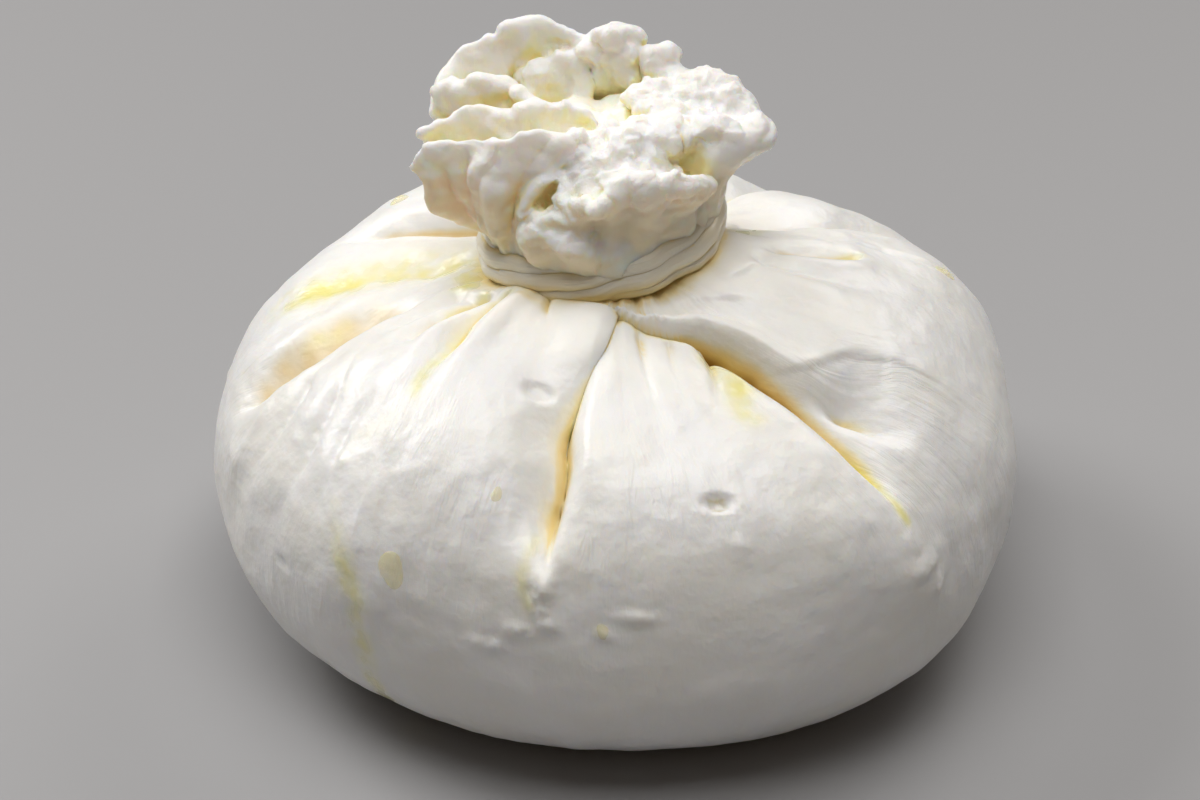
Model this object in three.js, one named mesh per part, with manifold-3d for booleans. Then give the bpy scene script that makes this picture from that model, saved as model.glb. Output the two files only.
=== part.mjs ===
// A burrata: a pouch of stretched curd, gathered at the top, twisted shut at a short neck
// and left with a ruffled tuft. It is one piece of skin, so it is one solid.
// Millimetres, +Z up, origin on the table under the middle of the pouch, front towards -Y.
//
// Places on the skin are given as [azimuth, skin]: azimuth in degrees, 0 at the front and
// growing to the right, and skin, the distance walked down the outside from the neck ring.
import * as THREE from 'three';
import { mergeVertices } from 'three/addons/utils/BufferGeometryUtils.js';
import Module from 'manifold-3d';

// ---- Pouch ----
const BODY_RADIUS = 48;        // half of the mean width
const WIDEST_HEIGHT = 18.2;    // height of the widest line above the table
const CROWN_RISE = 26.8;       // from the widest line up to the crown
const CROWN_POWER = 2.5;       // a superellipse: above 2 the shoulder is fuller than a circle's
const FOOT_RADIUS = 35;        // the flat spot that the pouch rests on
const FOOT_POWER = 2.2;
const NECK_RING_RADIUS = 14;   // where skin distance is zero
const PROFILE_STEPS = 400;

// The pouch sags unevenly: shares of the radius and of the crown's rise, as cosine and
// sine of 1, 2, 3 and 4 waves round the pouch.
const RADIUS_WAVES = [[0.014, 0.013], [-0.010, -0.009], [0.015, 0.026], [-0.015, -0.004]];
const CROWN_WAVES = [[0.007, 0.010], [0.007, 0.029], [-0.026, -0.068]];

// Guides that the columns of the mesh follow, as the strands of the skin do:
// azimuth at each skin distance of GUIDE_SKIN.
const GUIDE_SKIN = [0, 15, 36, 72];
const GUIDES = [
  [-72, -73, -72, -71],
  [-46, -44, -40, -38],
  [-6, -9, -10.4, -11],
  [13, 28, 40, 41],
  [52, 54, 67, 68],
  [89, 97, 98, 98],
  [109, 112, 118, 119],
  [146, 149, 147, 147],
  [177, 180, 183, 184],
  [211, 212, 214, 214],
  [240, 242, 245, 245],
  [264, 269, 268, 268],
];
const COLUMNS_PER_GUIDE = 8;
const GUIDE_CROWDING = 0.55;   // 0 spaces columns evenly, 1 crowds them towards the guides
const ROW_STEPS = [[-7, 0, 3], [0, 16, 11], [16, 44, 12], [44, 71.8, 8]];   // from, to, rows

// Folds: a route on the skin, the depth, the reach to the side of smaller and of larger
// azimuth, the height of the lip on each side, and the share of the route over which the
// fold grows in and dies out.
const FOLDS = {
  frontCrease: {
    route: [[-4, 1], [-7.1, 6.6], [-9.8, 12], [-10.4, 20], [-9.2, 27], [-10.6, 37]],
    depth: 2.7, reach: [4.6, 1.7], lip: [0.9, 0.2], ends: [0.05, 0.35],
  },
  flapSlit: {
    route: [[-4, 1.5], [7.5, 4.2], [15.6, 6.6], [23.6, 9], [31, 16.8], [35.4, 23.5], [38.5, 29], [41, 37]],
    depth: 3.0, reach: [1.7, 3.2], lip: [0.1, 1.9], ends: [0.05, 0.3],
  },
  leftValley: {
    route: [[-71, 6], [-73.5, 14], [-70.2, 21], [-70.2, 28.3], [-73, 35]],
    depth: 3.4, reach: [5.2, 2.2], lip: [0.3, 1.2], ends: [0.4, 0.4],
  },
  oiledValley: {
    route: [[-85, 3], [-86.5, 11], [-90, 18], [-93, 27]],
    depth: 1.5, reach: [5, 4.5], lip: [0, 0], ends: [0.2, 0.5],
  },
  leftPleat: {
    route: [[-51, 2], [-47.4, 9], [-44.2, 15.5], [-40, 22]],
    depth: 1.3, reach: [2.2, 2], lip: [0.2, 0.2], ends: [0.1, 0.6],
  },
  smallPleat: {
    route: [[-60, 3], [-57, 7.5], [-57.2, 13]],
    depth: 1.6, reach: [1.8, 1.6], lip: [0.2, 0.2], ends: [0.2, 0.5],
  },
  rightCrease: {
    route: [[86, 3], [89.8, 9.5], [98.4, 16]],
    depth: 1.8, reach: [2.2, 3], lip: [0.5, 0], ends: [0.2, 0.4],
  },
  backRightFold: {
    route: [[109, 1], [112, 12], [117, 30]],
    depth: 2.6, reach: [2.8, 3.4], lip: [0.4, 0.6], ends: [0.05, 0.5],
  },
  backRightPleat: {
    route: [[146, 1], [149, 14], [147, 36]],
    depth: 3.4, reach: [3.2, 3.4], lip: [0.2, 0.7], ends: [0.05, 0.5],
  },
  backCrease: {
    route: [[176, 1], [180, 16], [178, 28], [184, 43]],
    depth: 4, reach: [3, 4.8], lip: [0.8, 0.2], ends: [0.05, 0.4],
  },
  backLeftPleat: {
    route: [[210, 2], [213, 16], [214, 31]],
    depth: 3, reach: [3.4, 2.6], lip: [0.2, 0.7], ends: [0.1, 0.5],
  },
  farLeftPleat: {
    route: [[239, 2], [242, 13], [246, 25]],
    depth: 2.2, reach: [2.6, 3], lip: [0.4, 0.2], ends: [0.1, 0.5],
  },
};
const FOLD_SHARPNESS = 1.35;   // 1 is a knife crease, 2 a round gutter
const LIP_AT = 1.5;            // the lip's crest stands this many reaches from the crease
const ROUTE_SAMPLES = 24;
const FOOT_FADE = 12;          // folds die out over this much skin above the foot

// Broad swellings and dents: [azimuth, skin, height, radius].
const SWELLS = [
  [129, 11, 2.8, 8],
  [14, 12, 1.0, 7],
  [48, 23.5, -1.7, 6.5],
  [55, 12, 0.9, 8],
  [-66, 42, -1.0, 4],
  [-25, 22, 0.8, 12],
];

// ---- Neck ----
const NECK_AXIS = [-1.6, -0.4];
const NECK_HEIGHT = 46.6;      // middle of the twisted collar, at the front and back
const NECK_TILT = 1.9;         // the collar stands this much higher at its right end
const COLLAR_RADIUS = 11.4;    // to the middle of the collar's section
const COLLAR_HALF_WIDTH = 3.6;
const COLLAR_HALF_HEIGHT = 3.4;
const COLLAR_STRANDS = 4;      // ridges round the section
const COLLAR_TURNS = 2;        // whole turns that the ridges make round the neck
const COLLAR_RIDGE = 0.09;     // ridge height, as a share of the section
const COLLAR_SEGMENTS = 48;
const COLLAR_SECTION_POINTS = 12;

// The heart fills the neck and the middle of the tuft: [radius, height].
const HEART_PROFILE = [[0, 36], [11, 36], [11.4, 46], [11.6, 50.5], [10.6, 55], [8, 57.6], [4, 58.4], [0, 58]];
const HEART_SEGMENTS = 28;

// ---- Tuft ----
// Each ruffle is a thick sheet that rises from the neck. rim: [azimuth, radius, height]
// round the neck's axis; root: [first azimuth, last azimuth, radius, height].
// thick: at the root and at the rim. belly: how far the middle of the sheet bows outwards.
// frill: height and number of the waves along the rim.
const RUFFLES = [
  { rim: [[-79, 21.4, 57.8], [-69, 18.3, 61.0], [-52, 14.0, 62.2], [-35, 10.5, 62.7], [-18, 7.2, 61.0]],
    root: [-82, -26, 11.6, 49.0], thick: [3.4, 1.6], belly: 2.2, frill: [0.5, 2.5] },
  { rim: [[-86, 19.4, 59.4], [-88, 14.6, 61.9], [-84, 8.2, 62.4]],
    root: [-104, -62, 9.4, 49.0], thick: [3.4, 1.8], belly: 1.0, frill: [0.4, 1.5] },
  { rim: [[-92, 11.5, 61.6], [-80, 7.4, 62.2], [-58, 3.8, 62.4], [10, 2.2, 59.8]],
    root: [-110, 20, 5.0, 50.0], thick: [3.6, 2.2], belly: 0.4, frill: [0.3, 1.5] },
  { rim: [[-104, 19.2, 62.0], [-103, 15.8, 63.0], [-106, 12.0, 63.4], [-104, 7.6, 61.8]],
    root: [-120, -82, 9.0, 49.0], thick: [3.6, 2.0], belly: 0.6, frill: [0.4, 1.5] },
  { rim: [[-101, 18.9, 59.6], [-114, 19.7, 62.2], [-123, 18.6, 65.0], [-131, 16.4, 66.6]],
    root: [-104, -138, 11.4, 48.6], thick: [3.4, 1.5], belly: 1.4, frill: [0.3, 1] },
  { rim: [[-129, 16.0, 66.4], [-144, 14.2, 68.4], [-157, 12.6, 67.8], [-170, 10.4, 67.2]],
    root: [-126, -176, 11.4, 48.6], thick: [3.6, 1.5], belly: 1.6, frill: [0.3, 1] },
  { rim: [[188, 9.4, 66.4], [174, 10.2, 68.2], [160, 10.4, 68.0], [149, 9.4, 65.8]],
    root: [192, 142, 10.4, 48.6], thick: [4.6, 3.4], belly: 0.8, frill: [0.4, 2] },
  { rim: [[146, 9.8, 65.4], [133, 10.4, 65.6], [120, 10.4, 64.0], [108, 9.8, 61.6]],
    root: [150, 98, 10.4, 48.6], thick: [4.6, 3.4], belly: 0.8, frill: [0.4, 2] },
  { rim: [[58, 12.0, 59.6], [75, 14.0, 60.6], [92, 13.8, 62.4], [107, 12.4, 64.2], [121, 10.0, 63.8]],
    root: [52, 122, 11.2, 49.4], thick: [4.4, 8.6], belly: 2.2, frill: [0.5, 3] },
  { rim: [[-26, 12.8, 56.0], [-8, 13.8, 57.6], [10, 13.8, 58.8], [28, 14.2, 58.8], [50, 13.6, 56.4]],
    root: [-36, 52, 11.6, 49.2], thick: [4.0, 4.8], belly: 1.0, frill: [0.4, 2.5] },
  { rim: [[-16, 7.4, 59.8], [14, 8.4, 61.0], [44, 8.8, 60.8], [70, 9.4, 60.4]],
    root: [-20, 76, 6.4, 50.0], thick: [6.0, 6.6], belly: 0.2, frill: [0.4, 2.5] },
];
const RUFFLE_ACROSS = 11;      // points along the rim
const RUFFLE_UP = 7;           // points from root to rim
const BELLY_AT = 0.45;         // share of the sheet's height where it bows most
const RIM_SHARE = 0.6;         // the rim itself is rounded off to this share of its thickness
const SIDE_ROUNDING = 0.12;    // and the sheet's two side edges thin out towards this

const CURD = new THREE.MeshStandardMaterial({ name: 'curd', color: 0xf2ecdf, roughness: 0.42, metalness: 0 });

const wasm = await Module();
wasm.setup();

function mix(a, b, share) {
  return a + (b - a) * share;
}

function smooth(value) {
  const share = Math.min(1, Math.max(0, value));
  return share * share * (3 - 2 * share);
}

// Value at x of a line through points [x0, y0], [x1, y1] ... of growing x.
function lookUp(xs, ys, x) {
  let i = 0;
  while (i < xs.length - 2 && xs[i + 1] < x) i++;
  const share = (x - xs[i]) / (xs[i + 1] - xs[i]);
  return mix(ys[i], ys[i + 1], Math.min(1, Math.max(0, share)));
}

function solidOf(geometry) {
  const bare = geometry.index ? geometry.toNonIndexed() : geometry;
  const positions = new THREE.BufferGeometry();
  positions.setAttribute('position', bare.getAttribute('position'));
  const merged = mergeVertices(positions, 1e-4);
  return new wasm.Manifold(new wasm.Mesh({
    numProp: 3,
    vertProperties: new Float32Array(merged.getAttribute('position').array),
    triVerts: new Uint32Array(merged.index.array),
  }));
}

// A closed geometry from a grid of rows of Vector3, closed round in the row direction
// and at both ends by a fan to that row's centre.
function closedTube(rows) {
  const count = rows[0].length;
  const points = rows.flat();
  const index = [];
  for (let r = 0; r < rows.length - 1; r++) {
    for (let c = 0; c < count; c++) {
      const next = (c + 1) % count;
      const a = r * count + c;
      const b = r * count + next;
      index.push(a, a + count, b, b, a + count, b + count);
    }
  }
  const ends = [[0, 1], [rows.length - 1, -1]];
  for (const [r, side] of ends) {
    const centre = new THREE.Vector3();
    rows[r].forEach((point) => centre.addScaledVector(point, 1 / count));
    const hub = points.push(centre) - 1;
    for (let c = 0; c < count; c++) {
      const a = r * count + c;
      const b = r * count + (c + 1) % count;
      if (side > 0) index.push(hub, a, b);
      else index.push(hub, b, a);
    }
  }
  const geometry = new THREE.BufferGeometry().setFromPoints(points);
  geometry.setIndex(index);
  return geometry;
}

// ---- Pouch skin ----

// The pouch's profile as three lists: skin distance, radius and height, from crown to foot.
function makeProfile() {
  const radii = [];
  const heights = [];
  for (let i = 0; i <= PROFILE_STEPS; i++) {
    const share = Math.sin((Math.PI / 2) * (i / PROFILE_STEPS));
    radii.push(BODY_RADIUS * share);
    heights.push(WIDEST_HEIGHT + CROWN_RISE * Math.max(0, 1 - share ** CROWN_POWER) ** (1 / CROWN_POWER));
  }
  const footShare = 1 - (FOOT_RADIUS / BODY_RADIUS) ** FOOT_POWER;
  const footDrop = WIDEST_HEIGHT / footShare ** (1 / FOOT_POWER);
  for (let i = 1; i <= PROFILE_STEPS; i++) {
    const height = WIDEST_HEIGHT * (1 - i / PROFILE_STEPS);
    const share = (WIDEST_HEIGHT - height) / footDrop;
    radii.push(BODY_RADIUS * (1 - share ** FOOT_POWER) ** (1 / FOOT_POWER));
    heights.push(height);
  }
  const skins = [0];
  for (let i = 1; i < radii.length; i++) {
    skins.push(skins[i - 1] + Math.hypot(radii[i] - radii[i - 1], heights[i] - heights[i - 1]));
  }
  const ring = lookUp(radii.slice(0, PROFILE_STEPS), skins, NECK_RING_RADIUS);
  return { radii, heights, skins: skins.map((skin) => skin - ring) };
}

const profile = makeProfile();
const crownToRing = -profile.skins[0];
const footSkin = profile.skins[profile.skins.length - 1];

function waves(list, angle) {
  return list.reduce(
    (sum, [cosine, sine], i) => sum + cosine * Math.cos((i + 1) * angle) + sine * Math.sin((i + 1) * angle),
    1,
  );
}

// The smooth skin before any fold is pressed into it.
function bareSkin(angle, skin) {
  const radius = lookUp(profile.skins, profile.radii, skin) * waves(RADIUS_WAVES, angle);
  const height = lookUp(profile.skins, profile.heights, skin);
  const above = Math.max(0, height - WIDEST_HEIGHT) * (waves(CROWN_WAVES, angle) - 1);
  return new THREE.Vector3(radius * Math.sin(angle), -radius * Math.cos(angle), height + above);
}

function skinNormal(angle, skin) {
  const step = 0.01;
  const round = bareSkin(angle + step, skin).sub(bareSkin(angle - step, skin));
  const down = bareSkin(angle, skin + step).sub(bareSkin(angle, skin - step));
  return down.cross(round).normalize();
}

// The skin laid flat round the crown, as seen from above.
function flat(angle, skin) {
  const reach = crownToRing + skin;
  return new THREE.Vector2(reach * Math.sin(angle), -reach * Math.cos(angle));
}

function layRoute(fold) {
  const corners = fold.route.map(([azimuth, skin]) => {
    const spot = flat(THREE.MathUtils.degToRad(azimuth), skin);
    return new THREE.Vector3(spot.x, spot.y, 0);
  });
  return new THREE.CatmullRomCurve3(corners).getPoints(ROUTE_SAMPLES);
}

const folds = Object.values(FOLDS).map((fold) => ({ ...fold, line: layRoute(fold) }));

// Distance from a flat spot to a route, with its sign (+ towards larger azimuth) and how
// far along the route the nearest point is, from 0 to 1.
function measureTo(line, spot) {
  let best = { gap: Infinity, sign: 1, along: 0 };
  for (let i = 0; i < line.length - 1; i++) {
    const dx = line[i + 1].x - line[i].x;
    const dy = line[i + 1].y - line[i].y;
    const px = spot.x - line[i].x;
    const py = spot.y - line[i].y;
    const share = Math.min(1, Math.max(0, (px * dx + py * dy) / (dx * dx + dy * dy)));
    const gap = Math.hypot(px - share * dx, py - share * dy);
    if (gap < best.gap) {
      best = { gap, sign: Math.sign(dx * py - dy * px) || 1, along: (i + share) / (line.length - 1) };
    }
  }
  return best;
}

function foldHeight(fold, spot) {
  const { gap, sign, along } = measureTo(fold.line, spot);
  const side = sign > 0 ? 1 : 0;
  const reach = fold.reach[side];
  const strength = smooth(along / fold.ends[0]) * smooth((1 - along) / fold.ends[1]);
  const gutter = -fold.depth * Math.exp(-((gap / reach) ** FOLD_SHARPNESS));
  const lip = fold.lip[side] * Math.exp(-(((gap - LIP_AT * reach) / reach) ** 2));
  return strength * (gutter + lip);
}

function swellHeight([azimuth, skin, height, radius], spot) {
  const middle = flat(THREE.MathUtils.degToRad(azimuth), skin);
  return height * Math.exp(-((spot.distanceTo(middle) / radius) ** 2));
}

function skinPoint(angle, skin) {
  const spot = flat(angle, skin);
  let raised = 0;
  for (const fold of folds) raised += foldHeight(fold, spot);
  for (const swell of SWELLS) raised += swellHeight(swell, spot);
  raised *= smooth((footSkin - skin) / FOOT_FADE);
  return bareSkin(angle, skin).addScaledVector(skinNormal(angle, skin), raised);
}

// The azimuth of each column at one skin distance, in radians.
function columnAngles(skin) {
  const lines = GUIDES.map((guide) => lookUp(GUIDE_SKIN, guide, skin));
  lines.push(lines[0] + 360);
  const angles = [];
  for (let g = 0; g < GUIDES.length; g++) {
    for (let c = 0; c < COLUMNS_PER_GUIDE; c++) {
      const share = c / COLUMNS_PER_GUIDE;
      const crowded = 0.5 - 0.5 * Math.cos(Math.PI * share);
      angles.push(THREE.MathUtils.degToRad(mix(lines[g], lines[g + 1], mix(share, crowded, GUIDE_CROWDING))));
    }
  }
  return angles;
}

function makePouch() {
  const skins = [];
  for (const [from, to, count] of ROW_STEPS) {
    for (let i = 0; i < count; i++) skins.push(mix(from, to, i / count));
  }
  const rows = skins.map((skin) => columnAngles(skin).map((angle) => skinPoint(angle, skin)));
  const foot = columnAngles(footSkin).map((angle) => bareSkin(angle, footSkin));
  foot.forEach((point) => point.setZ(0));
  rows.push(foot);
  return closedTube(rows);
}

// ---- Neck ----

function makeCollar() {
  const index = [];
  const points = [];
  for (let i = 0; i < COLLAR_SEGMENTS; i++) {
    const round = 2 * Math.PI * (i / COLLAR_SEGMENTS);
    for (let j = 0; j < COLLAR_SECTION_POINTS; j++) {
      const turn = 2 * Math.PI * (j / COLLAR_SECTION_POINTS);
      const ridge = 1 + COLLAR_RIDGE * Math.cos(COLLAR_STRANDS * turn + COLLAR_STRANDS * COLLAR_TURNS * round);
      const radius = COLLAR_RADIUS + COLLAR_HALF_WIDTH * ridge * Math.cos(turn);
      const height = NECK_HEIGHT + NECK_TILT * Math.sin(round) + COLLAR_HALF_HEIGHT * ridge * Math.sin(turn);
      points.push(new THREE.Vector3(
        NECK_AXIS[0] + radius * Math.sin(round), NECK_AXIS[1] - radius * Math.cos(round), height,
      ));
      const a = i * COLLAR_SECTION_POINTS + j;
      const b = i * COLLAR_SECTION_POINTS + (j + 1) % COLLAR_SECTION_POINTS;
      const c = ((i + 1) % COLLAR_SEGMENTS) * COLLAR_SECTION_POINTS + j;
      const d = ((i + 1) % COLLAR_SEGMENTS) * COLLAR_SECTION_POINTS + (j + 1) % COLLAR_SECTION_POINTS;
      index.push(a, c, b, b, c, d);
    }
  }
  const geometry = new THREE.BufferGeometry().setFromPoints(points);
  geometry.setIndex(index);
  return geometry;
}

function makeHeart() {
  const outline = HEART_PROFILE.map(([radius, height]) => new THREE.Vector2(radius, height));
  const geometry = new THREE.LatheGeometry(outline, HEART_SEGMENTS);
  geometry.rotateX(Math.PI / 2);
  geometry.translate(NECK_AXIS[0], NECK_AXIS[1], 0);
  return geometry;
}

// ---- Tuft ----

function roundNeck(azimuth, radius, height) {
  const angle = THREE.MathUtils.degToRad(azimuth);
  return new THREE.Vector3(
    NECK_AXIS[0] + radius * Math.sin(angle), NECK_AXIS[1] - radius * Math.cos(angle), height,
  );
}

function makeRuffle({ rim, root, thick, belly, frill }) {
  const rimLine = new THREE.CatmullRomCurve3(rim.map((corner) => roundNeck(...corner)));
  const middle = (u, v) => {
    const low = roundNeck(mix(root[0], root[1], u), root[2], root[3]);
    const high = rimLine.getPoint(u);
    const point = low.clone().lerp(high, v);
    const outward = new THREE.Vector3(point.x - NECK_AXIS[0], point.y - NECK_AXIS[1], 0).normalize();
    const bow = belly * (v < BELLY_AT ? smooth(v / BELLY_AT) : smooth((1 - v) / (1 - BELLY_AT)));
    const wave = frill[0] * v * Math.sin(2 * Math.PI * frill[1] * u);
    return point.addScaledVector(outward, bow + wave);
  };
  const face = (u, v) => {
    const step = 0.02;
    const across = middle(Math.min(1, u + step), v).sub(middle(Math.max(0, u - step), v));
    const up = middle(u, v + step).sub(middle(u, v - step));
    return across.cross(up).normalize();
  };
  const rows = [];
  for (let i = 0; i < RUFFLE_ACROSS; i++) {
    const u = i / (RUFFLE_ACROSS - 1);
    const taper = Math.sqrt(Math.sin(Math.PI * mix(SIDE_ROUNDING, 1 - SIDE_ROUNDING, u)));
    const front = [];
    const back = [];
    for (let j = 0; j < RUFFLE_UP; j++) {
      const v = j / (RUFFLE_UP - 1);
      const half = 0.5 * mix(thick[0], thick[1], v) * taper * (v === 1 ? RIM_SHARE : 1);
      front.push(middle(u, v).addScaledVector(face(u, v), half));
      back.push(middle(u, v).addScaledVector(face(u, v), -half));
    }
    rows.push([...front, ...back.reverse()]);
  }
  return closedTube(rows);
}

// ---- One skin ----

// The largest closed shell of a mesh: a sealed hollow is filled and a loose scrap dropped.
function largestShell(vertices, triangles) {
  const leader = Array.from({ length: vertices.length / 3 }, (unused, i) => i);
  const find = (i) => {
    while (leader[i] !== i) {
      leader[i] = leader[leader[i]];
      i = leader[i];
    }
    return i;
  };
  for (let t = 0; t < triangles.length; t += 3) {
    leader[find(triangles[t + 1])] = find(triangles[t]);
    leader[find(triangles[t + 2])] = find(triangles[t]);
  }
  const groups = new Map();
  for (let t = 0; t < triangles.length; t += 3) {
    const key = find(triangles[t]);
    if (!groups.has(key)) groups.set(key, []);
    groups.get(key).push(triangles[t], triangles[t + 1], triangles[t + 2]);
  }
  return [...groups.values()].sort((a, b) => b.length - a.length)[0];
}

function makeBurrata() {
  let whole = solidOf(makePouch());
  for (const piece of [makeCollar(), makeHeart(), ...RUFFLES.map(makeRuffle)]) {
    whole = whole.add(solidOf(piece));
  }
  const mesh = whole.getMesh();
  const vertices = mesh.vertProperties;
  const geometry = new THREE.BufferGeometry();
  geometry.setAttribute('position', new THREE.BufferAttribute(Float32Array.from(vertices), 3));
  geometry.setIndex(Array.from(largestShell(vertices, mesh.triVerts)));
  geometry.computeVertexNormals();
  const burrata = new THREE.Mesh(geometry, CURD);
  burrata.name = 'burrata';
  return burrata;
}

const group = new THREE.Group();
group.add(makeBurrata());

export default group;
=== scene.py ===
# %% [markdown]
# # A burrata, from its folds to its oil
#
# A burrata is a bag of stretched curd. The maker pulls hot curd into a thin sheet, fills
# it with cream and curd shreds, gathers the edge, twists it shut at a short neck and
# leaves the ruffled end standing as a tuft. Everything that makes it look real follows
# from that: long creases that start at the neck, flaps that lap over each other, a neck
# like a wrung cloth, soft smooth sheets next to torn crumbly ones, and a dribble of oil
# that collects in the creases.
#
# The script loads the measured solid as a fixed frame, then makes a finely modelled
# skin in its place. All lengths below are in millimetres until a mesh is made.

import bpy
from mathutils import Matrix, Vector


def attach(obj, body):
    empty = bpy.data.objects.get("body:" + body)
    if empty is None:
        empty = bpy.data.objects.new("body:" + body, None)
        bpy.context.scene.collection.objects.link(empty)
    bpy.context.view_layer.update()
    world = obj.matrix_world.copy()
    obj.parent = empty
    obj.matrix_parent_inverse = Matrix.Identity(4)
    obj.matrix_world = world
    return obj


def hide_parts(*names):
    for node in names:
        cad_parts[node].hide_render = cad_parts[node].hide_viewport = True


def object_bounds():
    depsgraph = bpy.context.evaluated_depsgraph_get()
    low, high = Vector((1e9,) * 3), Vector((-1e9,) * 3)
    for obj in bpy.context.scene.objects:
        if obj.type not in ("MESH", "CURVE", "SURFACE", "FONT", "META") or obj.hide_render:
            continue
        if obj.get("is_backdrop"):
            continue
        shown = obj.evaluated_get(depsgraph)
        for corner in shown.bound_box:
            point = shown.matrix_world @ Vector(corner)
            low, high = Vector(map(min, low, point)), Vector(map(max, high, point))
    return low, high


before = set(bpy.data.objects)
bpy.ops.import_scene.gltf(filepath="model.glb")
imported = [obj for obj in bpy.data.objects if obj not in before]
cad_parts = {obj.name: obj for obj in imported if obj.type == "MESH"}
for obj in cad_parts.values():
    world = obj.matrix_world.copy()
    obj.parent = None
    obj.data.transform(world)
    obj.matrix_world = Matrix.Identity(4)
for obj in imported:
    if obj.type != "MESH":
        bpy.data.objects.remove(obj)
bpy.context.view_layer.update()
MM = 0.001

# %% [markdown]
# ## Small tools
#
# A few helpers do most of the work. `mix`, `smooth`, `ramp` and `bell` blend values,
# `curve_through` draws a smooth line through a few given points, and `noise` gives the gentle
# unevenness that nothing made by hand is without. The noise is classic gradient noise: a random
# slope at each corner of a lattice, blended inside each cell. The seed fixes it, so the cheese is
# the same cheese at each run.

# %% Modules
import itertools
import math
from functools import partial

import bmesh
import bpy
import numpy as np
from mathutils import Matrix, Vector, kdtree
from mathutils.bvhtree import BVHTree

print("Blender", bpy.app.version_string, "with numpy", np.__version__)

# %% Small tools
TINY = 1e-9


def mix(a, b, share):
    return a + (b - a) * share


def smooth(value):
    share = np.clip(value, 0, 1)
    return share * share * (3 - 2 * share)


def ramp(value, start, end):
    """0 before the start, 1 past the end, and eased between them."""
    return smooth((value - start) / (end - start))


def bell(distance, reach):
    return np.exp(-(distance / reach) ** 2)


def unit(vectors):
    return vectors / np.maximum(np.linalg.norm(vectors, axis=-1, keepdims=True), TINY)


def around_axis(angle, radius, *height):
    """Places at a radius from the upright axis. Angle 0 is the front."""
    return np.stack([radius * np.sin(angle), -radius * np.cos(angle), *height], -1)


def curve_through(points, count):
    """A Catmull-Rom line through the points, with `count` even steps of its parameter.
    Each of the points may be a whole line of points, and the result is then a sheet."""
    points = np.asarray(points, float)
    before, after = 2 * points[:1] - points[1:2], 2 * points[-1:] - points[-2:-1]
    padded = np.concatenate([before, points, after])
    place = np.linspace(0, len(points) - 1, count + 1)
    start = np.minimum(place.astype(int), len(points) - 2)
    t = (place - start).reshape(-1, *[1] * (points.ndim - 1))
    p0, p1, p2, p3 = (padded[start + k] for k in range(4))
    return 0.5 * (2 * p1 + (p2 - p0) * t + (2 * p0 - 5 * p1 + 4 * p2 - p3) * t ** 2
                  + (3 * p1 - p0 - 3 * p2 + p3) * t ** 3)


# %% Noise
LATTICE = 256
NOISE_GAIN = 1.6


def noise(points, seed):
    """Gradient noise at each point, from about -1 to 1, with features one unit apart."""
    rng = np.random.default_rng(seed)
    order = rng.permutation(LATTICE)
    slopes = rng.normal(size=(LATTICE, 3))
    slopes /= np.linalg.norm(slopes, axis=1)[:, None]
    cell = np.floor(points).astype(int)
    part = points - cell
    fade = part ** 3 * (part * (part * 6 - 15) + 10)
    total = np.zeros(len(points))
    for corner in itertools.product((0, 1), repeat=3):
        pick = np.zeros(len(points), int)
        for place in (cell + corner).T:
            pick = order[(pick + place) % LATTICE]
        reach = ((part - corner) * slopes[pick]).sum(1)
        weight = np.prod(np.where(corner, fade, 1 - fade), axis=1)
        total += weight * reach
    return total * NOISE_GAIN


sample = noise(np.random.default_rng(1).random((999, 3)) * 9, 1)
print("noise spans", sample.min().round(2), "to", sample.max().round(2))

# %% [markdown]
# ## The pouch's plain form
#
# Before any fold the pouch is a sagging ball: a superellipse profile turned round the
# neck, a little wider here and lower there. A point on it has two numbers, its azimuth
# (0 is the front, growing to the right) and `skin`, the distance walked down the outside
# from a ring at the neck. Laying that skin flat round the crown, as a map maker lays out
# the north pole, makes a chart where folds can be drawn as simple lines.

# %% The pouch's plain form
BODY_RADIUS = 48.0
WIDEST_HEIGHT = 18.2
CROWN_RISE = 26.8
CROWN_POWER = 2.5
FOOT_RADIUS = 35.0
FOOT_POWER = 2.2
NECK_RING_RADIUS = 14.0
PROFILE_STEPS = 400

share = np.sin(np.linspace(0, np.pi / 2, PROFILE_STEPS + 1))
crown_height = WIDEST_HEIGHT + CROWN_RISE * (1 - share ** CROWN_POWER) ** (1 / CROWN_POWER)
foot_drop = WIDEST_HEIGHT / (1 - (FOOT_RADIUS / BODY_RADIUS) ** FOOT_POWER) ** (1 / FOOT_POWER)
low_height = np.linspace(WIDEST_HEIGHT, 0, PROFILE_STEPS + 1)[1:]
low_share = ((WIDEST_HEIGHT - low_height) / foot_drop) ** FOOT_POWER
PROFILE_RADIUS = BODY_RADIUS * np.concatenate([share, (1 - low_share) ** (1 / FOOT_POWER)])
PROFILE_HEIGHT = np.concatenate([crown_height, low_height])
strides = np.hypot(np.diff(PROFILE_RADIUS), np.diff(PROFILE_HEIGHT))
walked = np.concatenate([[0], np.cumsum(strides)])
CROWN_TO_RING = np.interp(
    NECK_RING_RADIUS, PROFILE_RADIUS[:PROFILE_STEPS], walked[:PROFILE_STEPS])
PROFILE_SKIN = walked - CROWN_TO_RING
FOOT_SKIN = PROFILE_SKIN[-1]
print("pouch:", 2 * BODY_RADIUS, "mm wide,", round(FOOT_SKIN, 1), "mm of skin from neck to foot")

# %% Places on the skin and on its chart
# (cosine, sine) of one wave round the pouch, of two waves, and so on
RADIUS_WAVES = ((0.014, 0.013), (-0.010, -0.009), (0.015, 0.026), (-0.015, -0.004))
CROWN_WAVES = ((0.007, 0.010), (0.007, 0.029), (-0.026, -0.068))
PROBE = 0.02           # radians round the skin and mm down it, to measure its slope
ROUTE_STEPS = 36


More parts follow.
